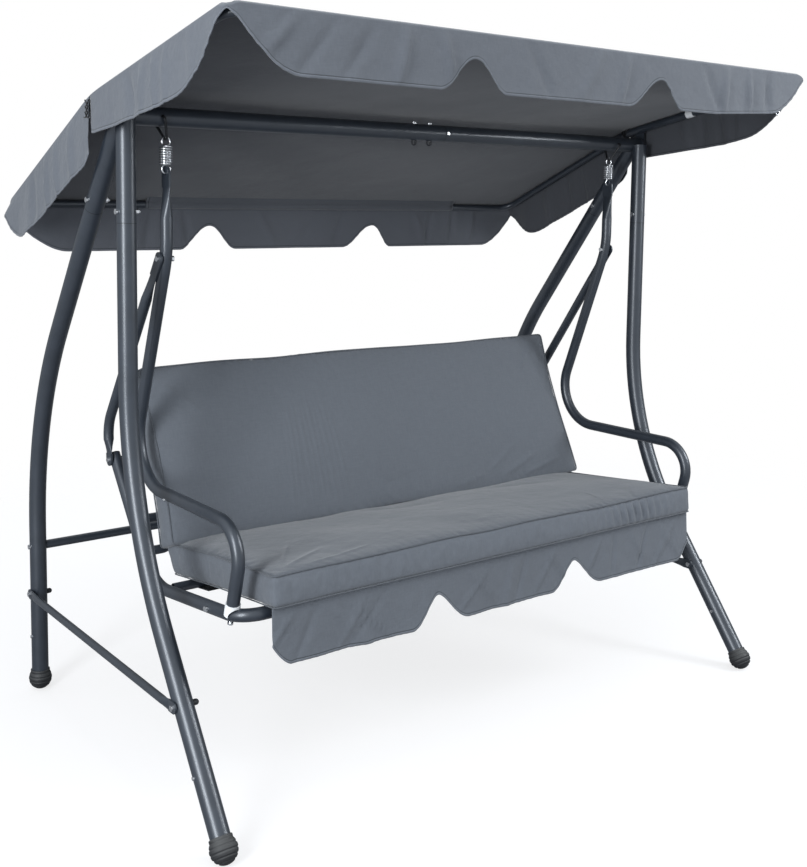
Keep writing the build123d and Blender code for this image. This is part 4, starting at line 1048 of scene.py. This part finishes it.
# %% Roof line
canopy_corner = Vector((0, beam_y + 0.058, 1.706))
front_rise = math.radians(11.3)
rear_fall = math.radians(23.6)
front_run = Vector((0, -math.cos(front_rise), math.sin(front_rise)))
rear_run = Vector((0, math.cos(rear_fall), -math.sin(rear_fall)))
front_up = Vector((0, math.sin(front_rise), math.cos(front_rise)))
rear_up = Vector((0, math.sin(rear_fall), math.cos(rear_fall)))
roof_lift = 0.0141
roof_bend = 0.35 + roof_lift
roof_half = 0.9745
side_tube_half = 0.955
front_edge_run, rear_edge_run = 0.6925, 0.6655
front_rail_run, rear_rail_run = 0.672, 0.652
deepest_sag = 0.016
roof_front = canopy_corner + front_run * front_edge_run + front_up * roof_lift
roof_rear = canopy_corner + rear_run * rear_edge_run + rear_up * roof_lift
both_up = front_up + rear_up
roof_top = canopy_corner + both_up * (roof_lift / (1 + front_up.dot(rear_up)))
bend_angle = front_up.angle(rear_up)
bend_arm = roof_bend * math.tan(bend_angle / 2)
front_length = (roof_front - roof_top).length - bend_arm
arc_length = roof_bend * bend_angle
rear_length = (roof_rear - roof_top).length - bend_arm
roof_length = front_length + arc_length + rear_length
slit_at = front_length + arc_length / 2


def roof_point(along):
    """Side line of the roof at a length from its front edge."""
    if along <= front_length:
        return roof_front - front_run * along
    bend_start = roof_front - front_run * front_length
    turned = min(along - front_length, arc_length) / roof_bend
    point = (bend_start - front_run * (roof_bend * math.sin(turned))
             - front_up * (roof_bend * (1 - math.cos(turned))))
    return point + rear_run * max(0.0, along - front_length - arc_length)


def roof_sag(x, along):
    """Sag of the cloth between the tubes, with slow tension folds."""
    across = max(0.0, 1 - (x / side_tube_half) ** 2)
    share = min(max((along - 0.021) / (roof_length - 0.035), 0), 1)
    sag = deepest_sag * math.sin(math.pi * share) * across
    folds = 0.0022 * noise.noise(Vector((x * 2.2, along * 5.5, 1.7)))
    folds += 0.0012 * noise.noise(Vector((x * 9, along * 9, 8.1)))
    return -sag + folds * min(1, across * 6) * min(1, 8 * share * (1 - share))


print("roof length", round(roof_length, 4), "bend", round(math.degrees(bend_angle), 2))

# %% Hem lines
front_drop, rear_drop = 0.142, 0.150
front_side_drop, rear_side_drop = 0.140, 0.165
front_corner_drop, rear_corner_drop = 0.013, 0.038
notches = ((-0.325, 0.104, 0.098), (0.325, 0.130, 0.080))
notch_rise = 0.076
slit_half = 0.009
slit_taper = 0.036


def corner_curve(distance, width, power):
    """Share of the full rise near a corner: an arch at the corner that runs into the hem."""
    share = min(max(distance, 0) / width, 1)
    share = (math.hypot(share, 0.07) - 0.07) / (math.hypot(1, 0.07) - 0.07)
    return 0.5 + 0.5 * math.cos(math.pi * share ** power)


def end_hem(x, drop):
    """Drop of the front or rear valance."""
    corner_drop = front_corner_drop if drop == front_drop else rear_corner_drop
    rise = sum(notch(x, centre, 2 * (left if x < centre else right), notch_rise)
               for centre, left, right in notches)
    width = 0.185 if drop == front_drop or x < 0 else 0.130
    rise += (drop - corner_drop) * corner_curve(roof_half - abs(x), width, 0.60)
    if drop == front_drop:
        rise += 0.018 * min(max((x - 0.55) / 0.3, 0), 1) * (1 - rise / drop)
    return drop - rise


def side_hem(along):
    """Drop of a side valance: narrower towards the slit in front, rounded at both sides of it."""
    ahead = along < slit_at
    width = 0.230 if ahead else 0.190
    full = front_side_drop if ahead else rear_side_drop
    corner_drop = front_corner_drop if ahead else rear_corner_drop
    rise = (full - corner_drop) * corner_curve(min(along, roof_length - along), width, 0.55)
    if ahead:
        rise += slit_taper * min(max((along - 0.30) / (slit_at - 0.30), 0), 1)
    rounding = 0.030 if ahead else 0.052
    rise += corner_rise(abs(along - slit_at), rounding, rounding * 0.99)
    return full - rise


# %% Roof sheet
valance_shares = [0, 0.02, 0.05, 0.13, 0.22, 0.32, 0.43, 0.54, 0.65, 0.76, 0.88, 1.0]
valance_rows = len(valance_shares) + 1
top_columns = even(-roof_half, roof_half, 0.0088)
front_rows = even(0, slit_at, 0.0098)
rear_rows = even(slit_at, roof_length, 0.0098)[1:]
top_rows = front_rows + rear_rows
slit_row = valance_rows + len(front_rows) - 1
column_count = len(top_columns) - 1
row_count = len(top_rows) - 1

shape, column, row = cloth_grid(column_count + 2 * valance_rows, row_count + 2 * valance_rows)


def outside(index, count):
    """Rows or columns beyond the top: how many before it (negative) or after it."""
    if index < valance_rows:
        return index - valance_rows
    return max(0, index - valance_rows - count)


corner_faces = [f for f in shape.faces
                if any(outside(v[column], column_count) for v in f.verts)
                and any(outside(v[row], row_count) for v in f.verts)]
bmesh.ops.delete(shape, geom=corner_faces, context="FACES")
slit_edges = [e for e in shape.edges
              if all(v[row] == slit_row for v in e.verts)
              and any(outside(v[column], column_count) for v in e.verts)]
bmesh.ops.split_edges(shape, edges=slit_edges)
print("corner faces", len(corner_faces), "slit edges", len(slit_edges))

# %% Roof places


def window(distance, width):
    """Smooth rise from 0 at an edge to 1 beyond a width."""
    share = min(max(distance / width, 0), 1)
    return share * share * (3 - 2 * share)


def corner_share(from_side, from_end, width):
    """Share that is 1 in the corner and 0 at a width from either edge."""
    return window(width - from_side, width) * window(width - from_end, width)


corner_radius = 0.024
fold_radius = 0.007
flare_width = 0.12
front_flare, left_flare, right_flare = 0.004, 0.016, 0.042
rail_bend_width = 0.034
front_sink, rear_sink = 0.016, 0.012
front_creases = ((0.60, 0.012, 0.010, 0.2), (0.70, 0.010, 0.012, 0.1),
                 (0.79, 0.014, -0.010, 0.1), (0.10, 0.020, 0.007, 0.6),
                 (-0.52, 0.014, 0.011, 0.2), (-0.60, 0.013, -0.007, 0.7),
                 (-0.16, 0.014, -0.007, -0.6), (-0.80, 0.014, 0.009, 0.9),
                 (-0.70, 0.012, -0.007, 0.8), (-0.42, 0.012, 0.010, -0.2),
                 (0.20, 0.012, 0.009, 0.3), (0.50, 0.012, -0.008, -0.5))
side_creases = ((0.16, 0.014, 0.009, 0.2), (0.27, 0.009, 0.011, 0.1), (0.33, 0.008, 0.011, 0.2),
                (0.39, 0.009, 0.010, 0.1), (0.47, 0.014, -0.010, 0.3), (0.84, 0.014, 0.010, 0.2),
                (0.96, 0.010, 0.011, 0.3), (1.03, 0.009, 0.010, 0.2), (1.14, 0.018, -0.010, 0.2))


def roof_edge(x, along):
    """Place on the roof with its rounded, drooping corners and the way that points outwards."""
    from_side = roof_half - abs(x)
    from_end = min(along, roof_length - along)
    end = -1 if along < roof_length / 2 else 1
    side = math.copysign(1, x)
    over = Vector((max(0, 1 - from_side / corner_radius), max(0, 1 - from_end / corner_radius)))
    if over.x and over.y:
        over *= max(over.x, over.y) / over.length
        from_side = corner_radius * (1 - over.x)
        from_end = corner_radius * (1 - over.y)
        x = side * (roof_half - from_side)
        along = from_end if end < 0 else roof_length - from_end
    point = roof_point(along)
    near = corner_share(from_side, from_end, flare_width)
    past_bend = corner_share(from_side, from_end, rail_bend_width)
    sunk = (front_sink if end < 0 else rear_sink) * past_bend
    turned_down = max(0, 1 - min(from_side, from_end) / fold_radius)
    height = point.z + roof_sag(x, along) - sunk - fold_radius * turned_down ** 2
    outward = Vector((side * over.x, end * over.y, 0))
    reach = front_flare if end < 0 else left_flare if side < 0 else right_flare
    flare = Vector((side, end * 0.6, 0)) * (reach * near)
    return Vector((x, point.y, height)), outward, side, end, flare


def roof_vertex(v):
    """Place of a vertex of the roof sheet, its two maps, and whether the hem is bound there."""
    out_x = outside(v[column], column_count)
    out_y = outside(v[row], row_count)
    x = top_columns[min(max(v[column] - valance_rows, 0), column_count)]
    along = top_rows[min(max(v[row] - valance_rows, 0), row_count)]
    place, outward, side, end, flare = roof_edge(x, along)
    if not out_x and not out_y:
        return place, ((x, along), (x, 1.0)), False
    if out_y:
        step, place_along, edge_from = abs(out_y), x, roof_half - abs(x)
        full = front_drop if out_y < 0 else rear_drop
        drop, creases, seed = end_hem(x, full), front_creases, 21.0 + 10 * end
        calm = 1
        outward = outward.normalized() if abs(outward.x) > 0 else Vector((0, end, 0))
    else:
        step, place_along, edge_from = abs(out_x), along, min(along, roof_length - along)
        ahead = along < slit_at
        if v[row] == slit_row:
            ahead = min(w[row] for f in v.link_faces for w in f.verts) < slit_row
        full = front_side_drop if ahead else rear_side_drop
        drop = side_hem(slit_at - 1e-6 if ahead and along >= slit_at else along)
        creases, seed = side_creases, 55.0 + 10 * side
        calm = window(edge_from - 0.06, 0.26) if ahead else 1
        outward = outward.normalized() if abs(outward.y) > 0 else Vector((side, 0, 0))
    depth = hem_depths(drop, valance_shares[1:])[step - 1]
    off = stand_off(place_along, depth, drop, full, seed)
    off += calm * folds(place_along, depth, drop, full, creases) + 0.05 * depth
    place += outward * off * window(edge_from - 0.01, 0.06) + flare * window(depth, 0.05)
    place.z += fold_radius - max(fold_radius, depth + fold_radius * (1 - depth / drop))
    if v[row] == slit_row and out_x:
        near_rows = [w[row] for f in v.link_faces for w in f.verts]
        toward = math.copysign(1, sum(near_rows) / len(near_rows) - slit_row)
        place += rear_run * toward * slit_half * (0.25 + 0.75 * depth / full)
        place.x += side * 0.004 * toward * depth / full
    flat = (x, along + end * depth) if out_y else (x + side * depth, along)
    return place, (flat, (place_along, drop - depth)), step >= valance_rows - 1


shape.verts.index_update()
maps = []
heavy = []
for v in shape.verts:
    v.co, both_maps, bound = roof_vertex(v)
    maps.append(both_maps)
    heavy.append(int(bound))
flat_area = map_cloth(shape, maps)
# rear valance faces take slot 2, so their inner shell takes the painted light copy
for f in shape.faces:
    if any(outside(v[row], row_count) > 0 for v in f.verts):
        f.material_index = 2
mark = shape.verts.layers.int.new("heavy")
for v in shape.verts:
    v[mark] = heavy[v.index]
corner_verts = [v for v in shape.verts if v.is_boundary
                and (outside(v[column], column_count) or outside(v[row], row_count))]
before = len(shape.verts)
bmesh.ops.remove_doubles(shape, verts=corner_verts, dist=1e-6)
bmesh.ops.recalc_face_normals(shape, faces=shape.faces)
if sum(f.normal.z for f in shape.faces) < 0:
    bmesh.ops.reverse_faces(shape, faces=shape.faces)
weights = [v[mark] for v in shape.verts]
print("sewn", before - len(shape.verts), "flat area", round(flat_area, 3))

roof = finish_piece(shape, "roof_sheet", roof_cloth)
for shell_finish in (roof_painted_shade, roof_cloth, rear_valance_painted_light):
    roof.data.materials.append(shell_finish)
# the inner shell takes the next slot: painted shade under the roof, painted light inside the rear
# valance
bind(roof, weights).material_offset = 1
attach(roof, "canopy")
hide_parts("canopy_cover", "front_valance", "rear_valance", "left_valance",
            "right_valance")
print("roof faces", len(roof.data.polygons))

# %% [markdown]
# Below the roof, a strip of the same cloth is sewn round the front rail and one round the rear
# rail, which holds the roof on its frame. The ends of the rails stay bare. Each strip is a
# rounded channel, so its section is drawn once and extruded across the swing.

# %% Strip tool


def strip(name, section, start, end, step, material):
    """Cloth with the same section all along X, from start to end."""
    stations = even(start, end, step)
    shape, column, row = cloth_grid(len(stations) - 1, len(section) - 1)
    lengths = [0.0]
    for first, second in zip(section[:-1], section[1:]):
        lengths.append(lengths[-1] + (second - first).length)
    maps = []
    shape.verts.index_update()
    for v in shape.verts:
        x, run = stations[v[column]], lengths[v[row]]
        shake = 0.0006 * noise.noise(Vector((x * 12, run * 30, 4.4)))
        v.co = section[v[row]] + Vector((x, 0, shake))
        maps.append(((x, run), (run, min(x - start, end - x))))
    map_cloth(shape, maps)
    bmesh.ops.recalc_face_normals(shape, faces=shape.faces)
    piece = finish_piece(shape, name, material)
    wall = piece.modifiers.new("wall", "SOLIDIFY")
    wall.thickness = cloth_wall
    wall.offset = 0
    return piece, lengths[-1]


# %% Rail strips
strip_radius = 0.0124
sleeve_cloth = cloth_finish("sleeve_cloth", (0.080, 0.085, 0.098), (0.088, 0.094, 0.108),
                            mapped=True, relief=0.3)
for name, run, up, length, start, end in (
    ("front_strip", front_run, front_up, front_rail_run, -0.66, 0.66),
    ("rear_strip", rear_run, rear_up, rear_rail_run, -0.56, 0.67),
):
    axis = canopy_corner + run * length
    section = [axis - run * 0.030 + up * 0.0125]
    for step in range(15):
        angle = math.radians(200 - 220 * step / 14)
        section.append(axis + run * (strip_radius * math.cos(angle))
                       - up * (strip_radius * math.sin(max(angle, 0))))
    sleeve, around = strip(name, section, start, end, 0.02, sleeve_cloth)
    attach(sleeve, "canopy")
    print(name, round(around, 4))

# %% [markdown]
# The skirt hangs from the seat cushion's front edge. It is cut like the valances, with two
# notches and slanted ends, and its bound hem is painted a little paler than the cloth, a painted
# highlight where light catches the hem.

# %% Seat skirt
skirt_top = on_rail(-0.433 + 0.014) + seat_up * 0.0178
skirt_half = 0.746
skirt_drop = 0.144
skirt_shares = [0, 0.06, 0.14, 0.23, 0.32, 0.42, 0.52, 0.62, 0.72, 0.82, 0.91, 1.0]
skirt_stations = even(-skirt_half, skirt_half, 0.0050)
skirt_rows = len(skirt_shares) + 1


def skirt_hem(x):
    """Drop of the skirt along the seat."""
    rise = sum(notch(x, centre, 0.176 if x < centre else 0.220, 0.080, 0.84)
               for centre in (-0.25, 0.25))
    from_end = skirt_half - abs(x)
    rise += 0.052 * max(0.0, 1 - from_end / 0.055) ** 1.6
    return skirt_drop - rise


skirt_creases = ((-0.67, 0.007, 0.0060, 0.9), (-0.61, 0.010, -0.0045, 0.5),
                 (-0.56, 0.007, 0.0055, -1.1), (-0.47, 0.009, 0.0040, 0.6),
                 (-0.40, 0.006, -0.0045, 0.9), (-0.16, 0.008, 0.0060, -0.9),
                 (-0.04, 0.006, 0.0050, 1.1), (0.07, 0.011, -0.0050, 0.3),
                 (0.12, 0.006, 0.0055, -0.9), (0.19, 0.007, 0.0045, 0.7),
                 (0.37, 0.006, 0.0060, 0.6), (0.42, 0.009, -0.0045, 0.1),
                 (0.48, 0.006, 0.0055, -0.6), (0.57, 0.006, -0.0050, 0.4),
                 (0.60, 0.007, 0.0055, -0.8), (0.70, 0.008, 0.0060, 0.8))
shape, column, row = cloth_grid(len(skirt_stations) - 1, skirt_rows)
maps = []
weights = []
shape.verts.index_update()
for v in shape.verts:
    x = skirt_stations[v[column]]
    drop = skirt_hem(x)
    step = skirt_rows - v[row]
    depth = hem_depths(drop, skirt_shares)[step]
    off = stand_off(x, depth, drop, skirt_drop, 77.0, 1.1, 0.35)
    off += folds(x, depth, drop, skirt_drop, skirt_creases)
    slant = 0.0045 * math.exp(-((x + 0.60 - 0.9 * depth) / 0.016) ** 2) * window(depth, 0.05)
    fold = 0.0040 * math.exp(-((x - 0.02 + 0.2 * depth) / 0.014) ** 2) * window(depth, 0.06)
    v.co = Vector((x, skirt_top.y - 0.0015 - off - slant - fold - 0.03 * depth,
                   skirt_top.z - depth))
    maps.append(((x, -depth), (x, drop - depth)))
    weights.append(step >= skirt_rows - 1)
skirt_area = map_cloth(shape, maps)
bmesh.ops.recalc_face_normals(shape, faces=shape.faces)
skirt = finish_piece(shape, "skirt_sheet", skirt_cloth)
bind(skirt, weights)
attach(skirt, "seat")
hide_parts("seat_skirt")
print("skirt area", round(skirt_area, 4))

# %% [markdown]
# The cushions lie on two slings of dark cloth. The seat sling is sewn round the front and the
# rear rail, and the back sling round the top of the back frame. Each is one strip whose section
# wraps the rails.

# %% Seat sling
rail_radius, thin_rail_radius = 0.016, 0.0125
wrap = rail_radius + cloth_wall
thin_wrap = thin_rail_radius + cloth_wall
tuck = 0.055
rear_axis = on_rail(0.008) + seat_up * 0.0035
front_axis = on_rail(-0.375)
seat_forward = Vector((0, -math.cos(seat_tilt), math.sin(seat_tilt)))


def arc(axis, forward, up, radius, first, last, count):
    """Arc in side view; angle 0 points forward and 90 degrees up."""
    return [axis + forward * (radius * math.cos(math.radians(a)))
            + up * (radius * math.sin(math.radians(a)))
            for a in (first + (last - first) * k / count for k in range(count + 1))]


def tucked(axis, way, up, radius):
    """End of a wrap, tucked in behind its rail."""
    return axis + way * tuck - up * radius * 0.9


section = [tucked(rear_axis, seat_forward, seat_up, thin_wrap)]
section += arc(rear_axis, seat_forward, seat_up, thin_wrap, 270, 90, 10)
flat_start, flat_end = section[-1], front_axis + seat_up * wrap
section += [flat_start.lerp(flat_end, k / 12) for k in range(1, 12)]
section += arc(front_axis, seat_forward, seat_up, wrap, 90, -90, 10)
section += [tucked(front_axis, -seat_forward, seat_up, wrap)]
seat_sling, around = strip("seat_sling_cloth", section, -0.715, 0.715, 0.03, sling_cloth)
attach(seat_sling, "seat")
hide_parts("seat_sling")
print("seat sling", round(around, 3))

# %% Back sling
top_run = (0.945 - back_foot.z) / back_up.z
back_top = back_foot + back_up * top_run
section = [back_foot + back_up * 0.026 + back_forward * 0.0135]
section += [section[0].lerp(back_top + back_forward * thin_wrap, k / 12) for k in range(1, 12)]
section += arc(back_top, back_forward, back_up, thin_wrap, 0, 180, 10)
section += [tucked(back_top, -back_up, back_forward, thin_wrap)]
back_sling, around = strip("back_sling_cloth", section, -0.655, 0.655, 0.03, sling_cloth)
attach(back_sling, "seat")
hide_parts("back_sling")
print("back sling", round(around, 3))

# %% [markdown]
# At each slit a black lace ties the two side panels round the bent tube. It is wound in loops
# that cross each other and ends in a knot with two short tails.

# %% Laces
bend_sag = 1 / math.cos(bend_angle / 2) - 1
bracket_radius = 0.013
knot_radius = 0.0063
lace_radius = 0.0019
loop_gap = 0.001
loop_lean, loop_shift = 0.018, 0.012
ring_radius = 0.0042
knot_drop = 0.35 * bend_sag + bracket_radius + knot_radius
knot_place = canopy_corner - both_up.normalized() * knot_drop
lines = []
bracket_wrap = 0.0145
for side in (-1, 1):
    knot = Vector((side * side_tube_half, knot_place.y, knot_place.z))
    centre = knot + both_up.normalized() * (bracket_radius + knot_radius)
    for tilt in (-0.55, 0.0, 0.55):
        loop = []
        for step in range(12):
            angle = 2 * math.pi * step / 12
            out = Vector((math.cos(angle), 0, math.sin(angle))) * (bracket_wrap + loop_gap)
            shift = tilt * loop_lean * math.sin(angle) + tilt * loop_shift
            loop.append(centre + out + front_run * shift)
        lines.append((loop, True))
    for spin in range(3):
        turn = 2.1 * spin
        ring = [knot + Vector((ring_radius * math.cos(a) * math.cos(turn),
                               ring_radius * math.cos(a) * math.sin(turn),
                               ring_radius * math.sin(a)))
                for a in (2 * math.pi * k / 8 for k in range(8))]
        lines.append((ring, True))
    for spread in (-1, 1):
        tail = [knot, knot + Vector((0.001, spread * 0.005, -0.008)),
                knot + Vector((0.003, spread * 0.010, -0.018)),
                knot + Vector((0.001, spread * 0.009, -0.026)),
                knot + Vector((-0.001, spread * 0.008, -0.034))]
        lines.append((tail, False))
for side in (-1, 1):
    zigzag = []
    for step in range(7):
        depth = 0.022 + 0.007 * step
        reach = 0.010 if step % 2 else -0.010
        edge = roof_point(slit_at)
        zigzag.append(Vector((side * (roof_half + 0.0055 + 0.06 * depth), edge.y,
                              edge.z - depth)) + rear_run * reach)
    lines.append((zigzag, False))
    crossed = [Vector((p.x + side * 0.0025, 2 * edge.y - p.y, p.z)) for p in zigzag]
    lines.append((crossed, False))
laces = round_cord("roof_laces", lines, lace_radius, lace_cloth)
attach(laces, "canopy")
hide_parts("canopy_ties")
print("lace faces", len(laces.data.polygons))
